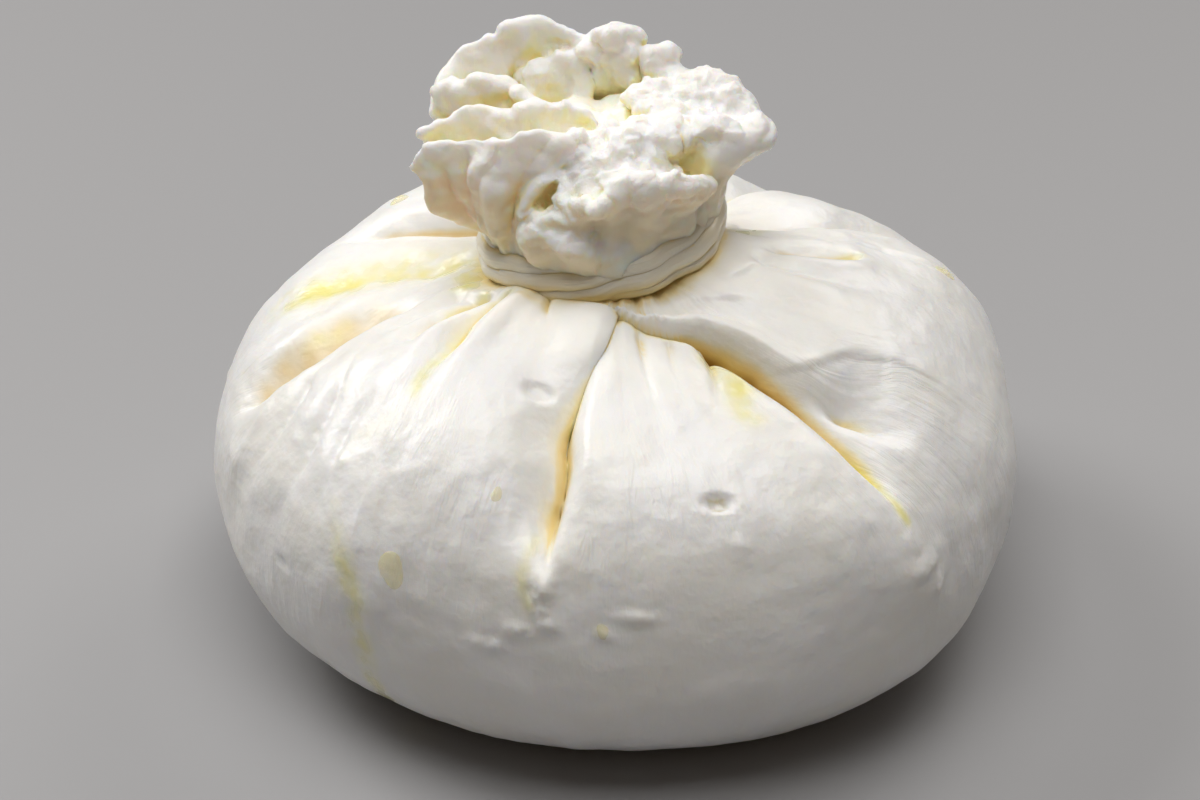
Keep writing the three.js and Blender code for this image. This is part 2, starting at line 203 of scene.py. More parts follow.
def waves(pairs, angle):
    total = np.ones_like(angle)
    for i, (cosine, sine) in enumerate(pairs):
        total = total + cosine * np.cos((i + 1) * angle) + sine * np.sin((i + 1) * angle)
    return total


def bare_skin(angle, skin):
    radius = np.interp(skin, PROFILE_SKIN, PROFILE_RADIUS) * waves(RADIUS_WAVES, angle)
    height = np.interp(skin, PROFILE_SKIN, PROFILE_HEIGHT)
    height = height + np.maximum(0, height - WIDEST_HEIGHT) * (waves(CROWN_WAVES, angle) - 1)
    return around_axis(angle, radius, height)


def skin_axes(angle, skin):
    """Three unit directions on the plain skin: round it, down it and out of it."""
    round_it = unit(bare_skin(angle + PROBE, skin) - bare_skin(angle - PROBE, skin))
    down_it = unit(bare_skin(angle, skin + PROBE) - bare_skin(angle, skin - PROBE))
    return round_it, down_it, unit(np.cross(down_it, round_it))


def chart(angle, skin):
    return around_axis(angle, CROWN_TO_RING + skin)


def chart_route(route, steps=ROUTE_STEPS):
    azimuth, skin = np.array(route, float).T
    return curve_through(chart(np.radians(azimuth), skin), steps)


def near_place(spots, azimuth, skin, reach):
    """1 at a place on the chart, and less the further a spot is from it."""
    away = np.linalg.norm(spots - chart(math.radians(azimuth), skin), axis=1)
    return bell(away, reach)


sides = bare_skin(np.radians([0, 90, 180, 270]), PROFILE_SKIN[PROFILE_STEPS])
print("front, right, back and left of the belly:", sides.round(1).tolist())

# %% [markdown]
# ## The folds
#
# Each fold is a line on the chart with a cross-section. The cross-section is made of
# five simple parts, and every fold mixes them in its own way:
#
# - a *crease*, narrow and deep, where two faces of skin meet,
# - a *valley*, the broad slope that leads down to it on either side,
# - a *lip*, the roll of skin beside it,
# - a *lap*, which drags the lip sideways over the crease, so that one panel truly covers
#   the other and the crease turns into a dark undercut, and
# - a *step*, where one layer of skin ends on top of another.
#
# A fold may start narrow at the neck and widen as it runs out, like a pleat in cloth.
# Its painted shade darkens the line towards amber and dark gold, as light falling off into it
# would, and says how wide. Pairs of
# numbers are for the side of smaller and of larger azimuth. The front folds are placed
# one by one, because they are this cheese's face, and the back ones are their kin.

# %% Fold table
# Routes are (azimuth, skin) from the neck outwards.
# A fold's last keys paint shade into the curd's colour along its line, amber to dark gold: how
# strong, how wide on each side, and at most how much.
FOLDS = {
    "front_crease": dict(
        route=[(-4, 1), (-6.6, 6.6), (-8.8, 12), (-9.8, 19), (-9, 24.5), (-10, 31),
               (-10.2, 37)],
        crease=1.6, crease_reach=(0.4, 0.4), valley=4.4, valley_reach=(5.2, 1.0),
        valley_from=0.3, lip=(1.3, 0.3), lip_at=2.2, lip_reach=1.8, lip_until=0.40, lap=-2.2,
        lap_reach=1.0, lap_until=0.44, ends=(0.04, 0.22), shade_amount=1.0, shade_reach=(0.45, 0.3)),
    "flap_slit": dict(
        route=[(-4, 1.5), (8, 3.0), (16.4, 4.6), (24.6, 7.0), (32.4, 14.5), (36.4, 21.8),
               (38.4, 28.6), (39.2, 35.6)],
        crease=1.6, crease_reach=(0.6, 0.6), valley=2.8, valley_reach=(1.4, 2.3),
        lip=(0.3, 2.6), lip_at=(2.0, 3.0), lip_reach=(1.6, 2.1), lip_until=0.62, lap=2.0,
        lap_reach=1.2, lap_until=0.42, ends=(0.04, 0.2), narrow_start=0.22, shade_amount=1.0,
        shade_reach=(0.35, 1.25)),
    "left_valley": dict(
        route=[(-76, 6), (-75.2, 11.5), (-73.6, 16.5), (-72, 20.6), (-71.4, 24.4),
               (-72.4, 28.6), (-74.6, 32.8), (-77.4, 37)],
        crease=0.8, crease_reach=(0.9, 0.5), valley=6.0, valley_reach=(3.4, 1.3),
        lip=(1.0, 0.4), lip_at=(6.4, 2.6), lip_reach=(2.2, 1.4), ends=(0.45, 0.4), shade_amount=1.2,
        shade_reach=(4.6, 0.8), shade_limit=0.46),
    "oiled_valley": dict(
        route=[(-96, 3), (-96, 11), (-96, 18), (-95, 27)],
        valley=1.2, valley_reach=(4.0, 3.4), ends=(0.2, 0.5)),
    "left_pleat": dict(
        route=[(-48.5, 2), (-46.7, 6), (-44.9, 9.5), (-43.2, 13), (-41.6, 17), (-40, 22)],
        crease=0.5, crease_reach=(0.8, 0.45), valley=1.8, valley_reach=(1.7, 1.3),
        lip=(0.6, 0.9), lip_at=2.8, lip_reach=1.5, lap=0.7, lap_reach=0.7, lap_until=0.5,
        ends=(0.1, 0.6), shade_amount=0.25),
    "small_pleat": dict(
        route=[(-56, 3), (-54.6, 6.2), (-53.6, 9.2), (-53.8, 12.5), (-55, 16.4)],
        crease=1.4, crease_reach=(0.9, 0.45), valley=3.2, valley_reach=(2.6, 0.9),
        lip=(0.3, 0.9), lip_at=(3.8, 1.5), lip_reach=1.2, lap=0.6, lap_reach=0.7, lap_until=0.6,
        ends=(0.15, 0.5), shade_amount=1.0, shade_reach=(1.7, 0.4)),
    "fan_pleat": dict(
        route=[(-67, 4), (-65.5, 9), (-63.5, 14), (-62.5, 18)],
        valley=1.1, valley_reach=(1.9, 1.2), lip=(0.2, 0.6), lip_at=2.0, lip_reach=1.2,
        ends=(0.15, 0.6)),
    "collar_step": dict(
        route=[(-29.5, 0.5), (-27, 3), (-23.1, 6.4)],
        crease=0.6, crease_reach=(0.4, 0.4), valley=0.4, valley_reach=(1.2, 1.0), lap=0.5,
        lap_reach=0.5, ends=(0.1, 0.6), shade_amount=0.3),
    "panel_pleat_a": dict(
        route=[(7.2, 3.8), (6.5, 13), (7.5, 21)],
        crease=0.6, crease_reach=(0.35, 0.4), valley=0.55, valley_reach=(1.2, 0.7),
        ends=(0.1, 0.8), shade_amount=0.2),
    "panel_pleat_b": dict(
        route=[(15.6, 5.6), (13.4, 12), (12.4, 18)],
        crease=0.6, crease_reach=(0.35, 0.35), valley=0.35, valley_reach=(1.6, 0.7),
        ends=(0.1, 0.8), shade_amount=0.2),
    "panel_pleat_c": dict(
        route=[(24.6, 8), (22, 13), (16.5, 21.5)],
        crease=0.9, crease_reach=(0.4, 0.4), valley=0.8, valley_reach=(1.2, 1.6),
        ends=(0.1, 0.8), shade_amount=0.3),
    "flap_edge": dict(
        route=[(30, 11.5), (35, 14.2), (39.5, 16.2), (45, 16.6), (51, 18.2), (56, 21.8),
               (60, 26.4), (63.5, 32), (69, 39)],
        step=0.5, step_spread=3.0, ends=(0.3, 0.6)),
    "flap_hollow": dict(
        route=[(37, 16.5), (40.2, 20), (42.9, 22.9), (45.4, 25.8), (48.4, 27.8), (53, 30)],
        valley=3.6, valley_reach=(1.6, 4.2), lip=(0.3, 0.0), lip_at=2.1, lip_reach=1.3,
        ends=(0.4, 0.6)),
    "flap_wrinkle_a": dict(
        route=[(6, 0.4), (20, 0.8), (33, 1.6), (43, 4.0), (48.5, 6.8), (51.5, 9.6)],
        step=0.4, step_spread=1.8, ends=(0.3, 0.4)),
    "flap_wrinkle_b": dict(
        route=[(22, 2.6), (32, 5.0), (39, 7.4), (46, 8.8)],
        crease=-0.4, crease_reach=(0.6, 0.9), ends=(0.35, 0.4)),
    "flap_wrinkle_c": dict(
        route=[(46, 0.6), (54, 2.4), (62, 3.4), (70, 5)],
        step=0.5, step_spread=1.6, ends=(0.3, 0.4)),
    "left_wrinkle_a": dict(
        route=[(-65.5, 24), (-62, 28), (-61.5, 34), (-64, 42)],
        crease=0.4, crease_reach=(0.5, 0.4), valley=0.6, valley_reach=(1.6, 0.8),
        ends=(0.2, 0.5)),
    "left_wrinkle_b": dict(
        route=[(-62, 19), (-55.5, 25), (-53, 30), (-52.5, 36), (-54.5, 44)],
        crease=0.35, crease_reach=(0.4, 0.5), valley=0.5, valley_reach=(0.9, 1.6),
        ends=(0.3, 0.5)),
    "left_wrinkle_c": dict(
        route=[(-49, 21), (-48, 27), (-46, 33), (-46.5, 41)],
        crease=0.3, crease_reach=(0.4, 0.4), valley=0.4, valley_reach=(1.2, 0.8),
        ends=(0.3, 0.5)),
    "left_wrinkle_d": dict(
        route=[(-70, 27), (-67, 33), (-68, 39), (-71, 46)],
        crease=-0.4, crease_reach=(0.6, 0.9), ends=(0.3, 0.5)),
    "right_crease": dict(
        route=[(77, 2.5), (80, 7.5), (82.4, 11), (86, 13.6), (91, 15.4)],
        crease=1.0, crease_reach=(0.5, 0.6), valley=1.5, valley_reach=(1.3, 2.4),
        lip=(0.7, 0.4), lip_at=(1.8, 3.6), lip_reach=1.4, ends=(0.3, 0.3), shade_amount=0.9,
        shade_reach=(0.5, 1.2)),
    "right_pleat": dict(
        route=[(68, 2), (68, 8), (72, 15), (80, 22)],
        crease=0.3, crease_reach=(0.4, 0.4), valley=0.6, valley_reach=(1.4, 1.8),
        ends=(0.1, 0.6)),
    "back_right_fold": dict(
        route=[(109, 1), (112, 12), (117, 30)],
        crease=1.2, crease_reach=(0.8, 0.7), valley=1.8, valley_reach=(2.6, 3.0),
        lip=(0.4, 0.6), lip_at=3.4, lip_reach=2.4, lap=1.0, lap_reach=0.8, lap_until=0.6,
        ends=(0.05, 0.4), shade_amount=0.6),
    "back_right_pleat": dict(
        route=[(146, 1), (149, 14), (147, 36)],
        crease=1.6, crease_reach=(0.8, 0.8), valley=2.0, valley_reach=(3.0, 3.0),
        lip=(0.3, 0.8), lip_at=3.6, lip_reach=2.6, lap=1.5, lap_reach=0.9, lap_until=0.6,
        ends=(0.05, 0.4), shade_amount=0.8),
    "back_crease": dict(
        route=[(176, 1), (180, 16), (178, 28), (184, 43)],
        crease=1.8, crease_reach=(0.8, 0.8), valley=2.3, valley_reach=(2.8, 4.4),
        lip=(0.9, 0.3), lip_at=3.2, lip_reach=2.6, lap=-1.7, lap_reach=0.9, lap_until=0.5,
        ends=(0.05, 0.3), shade_amount=0.9),
    "back_left_pleat": dict(
        route=[(210, 2), (213, 16), (214, 31)],
        crease=1.3, crease_reach=(0.7, 0.7), valley=1.8, valley_reach=(3.2, 2.4),
        lip=(0.2, 0.8), lip_at=3.2, lip_reach=2.2, lap=1.2, lap_reach=0.8, lap_until=0.6,
        ends=(0.1, 0.4), shade_amount=0.7),
    "far_left_pleat": dict(
        route=[(239, 2), (242, 13), (246, 25)],
        crease=0.9, crease_reach=(0.6, 0.6), valley=1.4, valley_reach=(2.4, 2.8),
        lip=(0.5, 0.2), lip_at=3.0, lip_reach=2.0, ends=(0.1, 0.5), shade_amount=0.5),
}
FOLD_DEFAULTS = dict(
    crease=0.0, crease_reach=(1.0, 1.0), valley=0.0, valley_reach=(1.0, 1.0), valley_from=0.0,
    lip=0.0, lip_at=1.0, lip_reach=1.0, lip_until=9.0, lap=0.0, lap_reach=1.0, lap_until=1.0,
    step=0.0, step_spread=4.0, ends=(0.1, 0.3), narrow_start=1.0, shade_amount=0.0, shade_reach=0.7,
    shade_limit=1.0)
print(len(FOLDS), "folds")

# %% [markdown]
# A fold acts on a point by its distance from the line, which side it is on, and how far
# along the line it is. The line is a chain of straight pieces, and numpy measures all the
# points of the skin to one piece at once, so even a fine skin takes moments.

# %% Distance to a line
def measure_to(line, spots):
    """Distance to the line, side (+1 towards larger azimuth), share along it, and the
    line's sideways direction there."""
    best = np.full(len(spots), np.inf)
    side = np.ones(len(spots))
    along = np.zeros(len(spots))
    across = np.zeros((len(spots), 2))
    for i in range(len(line) - 1):
        piece = line[i + 1] - line[i]
        away = spots - line[i]
        at = np.clip(away @ piece / (piece @ piece), 0, 1)
        gap = np.linalg.norm(away - at[:, None] * piece, axis=1)
        nearer = gap < best
        best[nearer] = gap[nearer]
        turn = piece[0] * away[:, 1] - piece[1] * away[:, 0]
        side[nearer] = np.where(turn[nearer] < 0, -1, 1)
        along[nearer] = (i + at[nearer]) / (len(line) - 1)
        across[nearer] = np.array([-piece[1], piece[0]]) / np.linalg.norm(piece)
    return best, side, along, across


# %% How a fold acts
CREASE_SHARPNESS = 1.2
VALLEY_SHARPNESS = 1.25
STEP_EDGE = 0.15       # mm over which a step rises
VALLEY_GROWTH = 0.3    # share of the route over which a late valley deepens
WIDTH_GROWTH = 0.75    # share of the route over which a narrow start widens
LAP_FADE = 0.25        # share of the route over which a lip or a lap dies out
# A crease's painted shade is widest where a lip shades it; this is the share of that width it keeps
# past the lip's end.
LEAST_SHADE = 0.25      # how much of its warm reach a crease keeps past the lip's end


def fold_effect(fold, spots):
    """Rise along the normal, sideways shift on the chart, and painted shade, for each spot."""
    f = {**FOLD_DEFAULTS, **fold}
    gap, side, along, across = measure_to(chart_route(f["route"]), spots)
    grown_wide = mix(f["narrow_start"], 1.0, smooth(along / WIDTH_GROWTH))

    def of_side(name):
        value = f[name]
        smaller, larger = value if isinstance(value, tuple) else (value, value)
        return np.where(side > 0, larger, smaller)

    def width(name):
        return of_side(name) * grown_wide

    def left_until(name):
        return smooth((f[name] - along) / LAP_FADE + 0.5)

    strength = smooth(along / f["ends"][0]) * smooth((1 - along) / f["ends"][1])
    rise = -f["crease"] * np.exp(-(gap / of_side("crease_reach")) ** CREASE_SHARPNESS)
    grown = smooth((along - f["valley_from"]) / VALLEY_GROWTH + 0.5) if f["valley_from"] else 1.0
    rise -= grown * f["valley"] * np.exp(-(gap / width("valley_reach")) ** VALLEY_SHARPNESS)
    lip_left = left_until("lip_until")
    rise += lip_left * of_side("lip") * bell(gap - width("lip_at"), width("lip_reach"))
    rise += f["step"] * (0.5 + 0.5 * np.tanh(side * gap / STEP_EDGE)) * bell(gap, f["step_spread"])
    lapping = side * np.sign(f["lap"]) > 0
    pull = gap / f["lap_reach"]
    drag = abs(f["lap"]) * lapping * pull * np.exp(1 - pull)
    drag *= strength * left_until("lap_until")
    shift = -np.sign(f["lap"]) * drag[:, None] * across
    shade_width = width("shade_reach") * mix(LEAST_SHADE, 1, lip_left)
    painted_shade = f["shade_amount"] * strength * bell(gap, shade_width)
    return strength * rise, shift, np.minimum(painted_shade, f["shade_limit"])


slit = chart_route(FOLDS["flap_slit"]["route"])
slit_length = np.linalg.norm(np.diff(slit, axis=0), axis=1).sum()
print("the slit is", slit_length.round(1), "mm long")

# %% [markdown]
# ## Swellings, pits and torn spots
#
# Between the folds the skin puffs out or sinks softly. Gas in the curd leaves a few
# round pits with a crisp edge, and where a crease ends the skin is puckered and torn.
# Small curd grains at random places keep the wide panels from looking polished.

# %% Table of swellings, pits and torn spots
# (azimuth, skin, height, radius)
SWELLS = (
    (129, 11, 2.8, 8), (26, -1.5, 1.2, 7), (14, 12, 1.0, 7), (55, 12, 0.9, 8),
    (-66, 42, -0.4, 4), (39, 41, 1.3, 5.5), (30, 36, 0.6, 5), (-25, 22, 0.8, 12),
    (-69, 38.5, 0.4, 3.6), (20, 30, 0.6, 9), (66, 42, 0.5, 7), (-40, 40, 0.5, 8),
    (190, 30, 1.0, 9), (228, 20, 0.9, 8), (162, 22, 1.0, 8), (-105, 26, 0.7, 8),
    (100, 30, 0.8, 9), (3, 25, 0.5, 6),
)
# (azimuth, skin, depth, radius, how much wider than tall)
PITS = (
    (-18, 15.5, 0.6, 1.2, 1.15), (13.7, 28.4, 1.1, 0.85, 1.4), (-50.6, 44.5, 0.3, 0.7, 1.2),
    (133, 34, 0.5, 1.0, 1.2), (204, 44, 0.4, 0.9, 1.3), (-128, 33, 0.4, 0.9, 1.1),
)
PIT_EDGE = 0.7         # share of the radius over which a pit's wall falls
PIT_RIM = 0.12         # height of the rim below a pit, as a share of its depth
PIT_RIM_AT = 1.4       # how far out the rim is, and how broad, in pit radii
PIT_RIM_REACH = 0.35
# (azimuth, skin, height, reach round, reach down): puckered, torn curd
TEARS = (
    (-10.4, 38.4, 0.75, 1.6, 2.4), (-9.0, 41.6, 0.6, 1.4, 1.0), (-13.2, 42.6, 0.6, 1.8, 0.9),
    (-17.4, 44.8, 0.5, 1.8, 0.8), (1.6, 40.2, 0.7, 2.4, 0.7), (-2.2, 42.2, 0.5, 1.0, 0.8),
    (38.2, 37.4, 0.5, 1.2, 2.0), (39.4, 40.6, 0.5, 1.8, 1.2), (41.6, 43.4, 0.5, 1.6, 1.2),
    (15.6, 33.4, 0.5, 0.8, 1.5), (-33, 30, 0.35, 1.2, 1.6), (-45, 31, 0.4, 1.6, 1.6),
    (-56, 33, 0.2, 0.9, 3.0), (-50, 36, 0.2, 1.0, 2.4), (33, 33, 0.3, 1.4, 1.8),
    (-71, 38, 0.25, 1.2, 3.0), (183, 45.5, 0.9, 2.2, 1.8), (147, 38.5, 0.7, 1.8, 1.6),
    (213, 33.5, 0.7, 1.6, 1.6),
)
LUMP_SEED = 31
LUMP_COUNT = 150
LUMP_ROWS = (6, 56)
LUMP_HEIGHTS = (-0.16, 0.24)
LUMP_REACHES = (0.6, 1.4)       # mm round the skin
LUMP_LENGTHS = (1, 5)           # how many times as long down the skin
print(len(SWELLS), "swellings,", len(PITS), "pits and", len(TEARS), "torn spots")


# %% How they act
def local_offsets(angle, skin, azimuth, at_skin):
    """Distance in mm from a place on the skin: round it and down it."""
    turn = (angle - math.radians(azimuth) + np.pi) % (2 * np.pi) - np.pi
    radius = np.interp(skin, PROFILE_SKIN, PROFILE_RADIUS)
    return turn * radius, skin - at_skin


def swell_rise(spots):
    return sum(height * near_place(spots, azimuth, skin, radius)
               for azimuth, skin, height, radius in SWELLS)


def pit_rise(angle, skin):
    rise = np.zeros(len(angle))
    for azimuth, at_skin, depth, radius, wide in PITS:
        across, down = local_offsets(angle, skin, azimuth, at_skin)
        away = np.hypot(across / wide, down) / radius
        rise -= depth * smooth((1 + PIT_EDGE / 2 - away) / PIT_EDGE)
        lower_side = smooth(0.3 + 0.8 * down / radius)
        rise += PIT_RIM * depth * bell(away - PIT_RIM_AT, PIT_RIM_REACH) * lower_side
    return rise


def lump_rise(angle, skin):
    """Curd grains and small sags at random places, long along the strands."""
    rng = np.random.default_rng(LUMP_SEED)
    rise = np.zeros(len(angle))
    azimuths = rng.uniform(0, 360, LUMP_COUNT)
    for azimuth, at_skin in zip(azimuths, rng.uniform(*LUMP_ROWS, LUMP_COUNT)):
        height, reach = rng.uniform(*LUMP_HEIGHTS), rng.uniform(*LUMP_REACHES)
        long = reach * rng.uniform(*LUMP_LENGTHS)
        near = np.abs(skin - at_skin) < 3 * long
        across, down = local_offsets(angle[near], skin[near], azimuth, at_skin)
        rise[near] += height * np.exp(-(across / reach) ** 2 - (down / long) ** 2)
    return rise


def tear_mask(angle, skin):
    mask = np.zeros(len(angle))
    for azimuth, at_skin, height, wide, tall in TEARS:
        across, down = local_offsets(angle, skin, azimuth, at_skin)
        away = (across / wide) ** 2 + (down / tall) ** 2
        mask = np.maximum(mask, height * np.exp(-away ** 1.5))
    return mask

# %% [markdown]
# ## The mesh of the skin
#
# Curd strands run from the neck down between the folds, so the columns of the mesh do the same.
# `GUIDES` are columns placed along the main folds; the others are spread between them and crowd
# towards them, which puts the finest mesh where the sharpest creases are.

# %% Columns and rows
GUIDE_SKIN = (0, 8, 16, 24, 36, 72)
GUIDES = (
    (-76, -75, -72, -68, -76, -77),
    (-53, -48, -43, -39, -38, -37),
    (-5, -7.9, -10.2, -9.7, -10.5, -12),
    (12, 20.5, 30.3, 35.7, 40.7, 44),
    (34, 38, 42, 56.5, 66, 72),
    (85, 89, 98, 98, 99, 99),
    (109, 111, 113, 115.5, 118, 119),
    (146, 148, 149, 148.3, 147, 147),
    (176, 178, 180, 178.5, 181.5, 184),
    (210, 211.5, 213, 213.6, 214, 214),
    (239, 241, 243, 246, 246, 245),
    (264, 268, 270, 268, 268, 268),
)
# how many columns from each guide to the next
SECTOR_COLUMNS = (48, 62, 64, 66, 56, 40, 34, 30, 32, 32, 30, 34)
GUIDE_CROWDING = 0.6
# (from, to, how many rows)
ROW_STEPS = ((-6, 0, 8), (0, 16, 46), (16, 46, 76), (46, 70.5, 40), (70.5, FOOT_SKIN, 3))


def column_angles(skin):
    """Azimuths of the columns, one row for each skin distance, in radians."""
    lines = np.array([np.interp(skin, GUIDE_SKIN, guide) for guide in GUIDES])
    lines = np.vstack([lines, lines[:1] + 360])
    columns = []
    for line, following, count in zip(lines, lines[1:], SECTOR_COLUMNS):
        share = np.arange(count) / count
        crowded = mix(share, 0.5 - 0.5 * np.cos(np.pi * share), GUIDE_CROWDING)
        columns.append(line + (following - line) * crowded[:, None])
    return np.radians(np.vstack(columns).T)


spans = [np.linspace(start, end, count, endpoint=False) for start, end, count in ROW_STEPS]
row_skin = np.concatenate(spans + [[FOOT_SKIN]])
angles = column_angles(row_skin)
ROWS, COLUMNS = angles.shape
angle = angles.ravel()
skin = np.repeat(row_skin, COLUMNS)
strand = np.tile(np.arange(COLUMNS) / COLUMNS, ROWS)      # 0 to 1 round the pouch
print("skin mesh:", ROWS, "rows of", COLUMNS, "columns")

# %% [markdown]
# Now everything is added up. Four bands of noise join the folds: a broad unevenness, the
# pleats where the skin is gathered into the neck, and the fine strands and thicker
# strings of stretched curd, which are long down the skin and narrow round it.

# %% Table of noise
# (how many round the pouch, length down the skin, seed)
STRANDS = (96, 16.0, 5)
STRINGS = (52, 8.0, 8)
PLEATS = (30, 22, 7)
STRAND_HEIGHT = 0.19
STRING_HEIGHT = 0.42      # sharp along their tops
PLEAT_HEIGHT = 0.55
PLEAT_REACH = 9.0
# (azimuth, skin, reach, more or fewer strings)
STRING_PATCHES = (
    (-58, 30, 12, 0.7), (-30, 26, 8, 0.4), (24, 26, 8, 0.4), (30, 6, 13, -1.2),
    (80, 20, 12, -0.5),
)
UNEVEN = ((15, 0.45), (6, 0.18), (3, 0.09))      # size and height, mm
# Of the levels below, the first breaks up the painted shade along the creases.
# Level, then (strength, size in mm, seed) of the noise that breaks it up
SHADE_LEVELS = (0.92, (0.3, 2.2, 23))
STRAND_LEVELS = (0.6, (1.3, 13, 4))
STRING_LEVELS = (0.35, (1.5, 17, 6))
# A tear rises by a level, by sharp grains and by soft lumps, each with a size and a height.
TEAR_LEVEL = 0.35
TEAR_GRAINS = (0.9, 0.9)
TEAR_LUMPS = (2.0, 0.5)
STRAND_BELLY = (34, 52)   # skin distances between which the strands grow fainter
STRAND_BELLY_LOSS = 0.4
STRING_TOP = (0, 8)       # skin distances where strings come in, and where they die out
STRING_END = (50, 34)
FOOT_FADE = 12.0          # mm of skin above the foot over which all relief dies out

# %% Add up the folds
spots = chart(angle, skin)
rise = swell_rise(spots) + pit_rise(angle, skin) + lump_rise(angle, skin)
shift = np.zeros_like(spots)
# painted shade along the creases, which the finish mixes into the curd's colour
painted_shade = np.zeros(len(spots))
for fold in FOLDS.values():
    up, sideways, shade_amount = fold_effect(fold, spots)
    rise += up
    shift += sideways
    painted_shade = np.maximum(painted_shade, shade_amount)
print("folds reach from", rise.min().round(1), "to", rise.max().round(1), "mm")

# %% Add the noise
plain = bare_skin(angle, skin)
turn = 2 * np.pi * strand


def broken_up(level, *noises):
    """A level that noise raises and lowers from place to place on the skin."""
    return sum((strength * noise(plain / size, seed) for strength, size, seed in noises), level)


def strand_noise(count, length, seed):
    reach = count / (2 * np.pi)
    return noise(np.stack([reach * np.cos(turn), reach * np.sin(turn), skin / length], -1), seed)


painted_shade = np.clip(painted_shade * broken_up(*SHADE_LEVELS), 0, 1)
for size, height in UNEVEN:
    rise += height * noise(plain / size, 3 + size)
patchy = smooth(broken_up(*STRAND_LEVELS))
patchy *= 1 - STRAND_BELLY_LOSS * ramp(skin, *STRAND_BELLY)
rise += STRAND_HEIGHT * patchy * strand_noise(*STRANDS) * smooth(skin / 6 + 0.4)
stringy = broken_up(*STRING_LEVELS)
for azimuth, at_skin, reach, more in STRING_PATCHES:
    stringy += more * near_place(spots, azimuth, at_skin, reach)
stringy = smooth(stringy) * ramp(skin, *STRING_END) * ramp(skin, *STRING_TOP)
rise += STRING_HEIGHT * stringy * (0.35 - np.abs(strand_noise(*STRINGS)))
rise += PLEAT_HEIGHT * strand_noise(*PLEATS) * bell(np.maximum(skin, 0), PLEAT_REACH)
tears = tear_mask(angle, skin)
size, height = TEAR_GRAINS
torn_height = TEAR_LEVEL + height * np.abs(noise(plain / size, 11))
size, height = TEAR_LUMPS
rise += tears * (torn_height + height * noise(plain / size, 13))
foot_hold = smooth((FOOT_SKIN - skin) / FOOT_FADE)
rise *= foot_hold
shift *= foot_hold[:, None]
print("with the noise, from", rise.min().round(1), "to", rise.max().round(1), "mm")

# %% Place the points
round_it, down_it, out_of_it = skin_axes(angle, skin)
outward = around_axis(angle, 1.0)                             # down the skin, on the chart
sideward = np.stack([np.cos(angle), np.sin(angle)], -1)       # round the skin, on the chart
points = plain + out_of_it * rise[:, None]
points += (down_it * (shift * outward).sum(1)[:, None]
           + round_it * (shift * sideward).sum(1)[:, None])
points[-COLUMNS:, 2] = 0
print("pouch top at", points[:, 2].max().round(1), "mm, with", len(points), "points")

# %% [markdown]
# ## Where the oil is
#
# Oil runs down from the neck, fills the creases and leaves a lemon tint on the skin. It
# is painted as a mask on the same chart: routes with a width and a strength, blurred at
# the edge and broken up by noise, as a thin film is.

# %% Oil mask
# (route, reach in mm, strength)
OIL_STAINS = (
    ([(-98, 3), (-98.4, 9), (-98, 14), (-97, 19), (-96, 25.5)], 3.8, 0.72),
    ([(-97, 17), (-95.5, 25)], 2.8, 0.95),
    ([(-90, 2), (-82, 3), (-72, 4)], 2.6, 0.8),
    ([(-80, 18.6), (-78.8, 21.5), (-78, 24)], 1.3, 0.5),
    ([(-46.5, 3), (-44, 8), (-42.6, 13), (-41.6, 18), (-40.5, 21)], 1.3, 0.75),
    ([(-58, 4), (-57, 8)], 1.4, 0.7),
    ([(-39, 20), (-41, 25), (-44.7, 29), (-42, 35)], 2.0, 0.25),
    ([(-40.1, 38.7), (-36.5, 43.1), (-36, 47), (-35.6, 52), (-36, 60), (-37, 68)], 2.3, 0.7),
    ([(-12.5, 33), (-13, 37), (-12, 39.5)], 1.2, 0.55),
    ([(25, 10), (25.6, 14), (24.5, 18.5)], 2.1, 0.75),
    ([(37.2, 25), (38.4, 29), (39.2, 35.6)], 0.7, 0.9),
    ([(82, 11), (90, 15.2)], 1.2, 0.7),
    ([(88, 1), (100, 3.4)], 1.8, 0.6),
    ([(-5, 3), (-7.4, 9), (-9.2, 14), (-9.8, 18)], 0.7, 0.95),
    ([(-9.8, 19), (-9, 26), (-10, 35)], 0.4, 0.5),
    ([(2, 2.6), (14, 5), (24, 7.6)], 0.9, 0.5),
    ([(-73, 16), (-71, 21), (-71, 25)], 1.5, 0.3),
    ([(178, 8), (179, 26)], 0.9, 0.5),
    ([(-4.0, 40.5), (-3.2, 42)], 0.9, 0.4),
)
OIL_ROUTE_STEPS = 12
OIL_LEVELS = (0.72, (0.5, 3.0, 17), (0.25, 1.1, 19))
OILED_FROM = 0.2       # from here on a spot counts as oiled in the printed share

oil = np.zeros(len(spots))
for route, reach, strength in OIL_STAINS:
    gap = measure_to(chart_route(route, OIL_ROUTE_STEPS), spots)[0]
    oil = np.maximum(oil, strength * bell(gap, reach))
oil = np.clip(oil * broken_up(*OIL_LEVELS), 0, 1)
print("oiled share of the skin:", (oil > OILED_FROM).mean().round(3))

# %% [markdown]
# ## From numbers to a mesh
#
# One function turns a grid of points, closed round each row and with a fan at both
# ends, into a Blender mesh in metres. Masks travel with it as named attributes, and a UV
# map carries (across the strands, along the strands), so that the finish can follow them.

# %% Mesh helpers
def link(mesh, name, material=None):
    piece = bpy.data.objects.new(name, mesh)
    bpy.context.scene.collection.objects.link(piece)
    if material:
        mesh.materials.clear()
        mesh.materials.append(material)
    return piece


def mesh_from(name, vertices, faces):
    mesh = bpy.data.meshes.new(name)
    mesh.from_pydata([tuple(v) for v in np.asarray(vertices) * MM], [], [tuple(f) for f in faces])
    mesh.polygons.foreach_set("use_smooth", [True] * len(mesh.polygons))
    mesh.update()
    return mesh


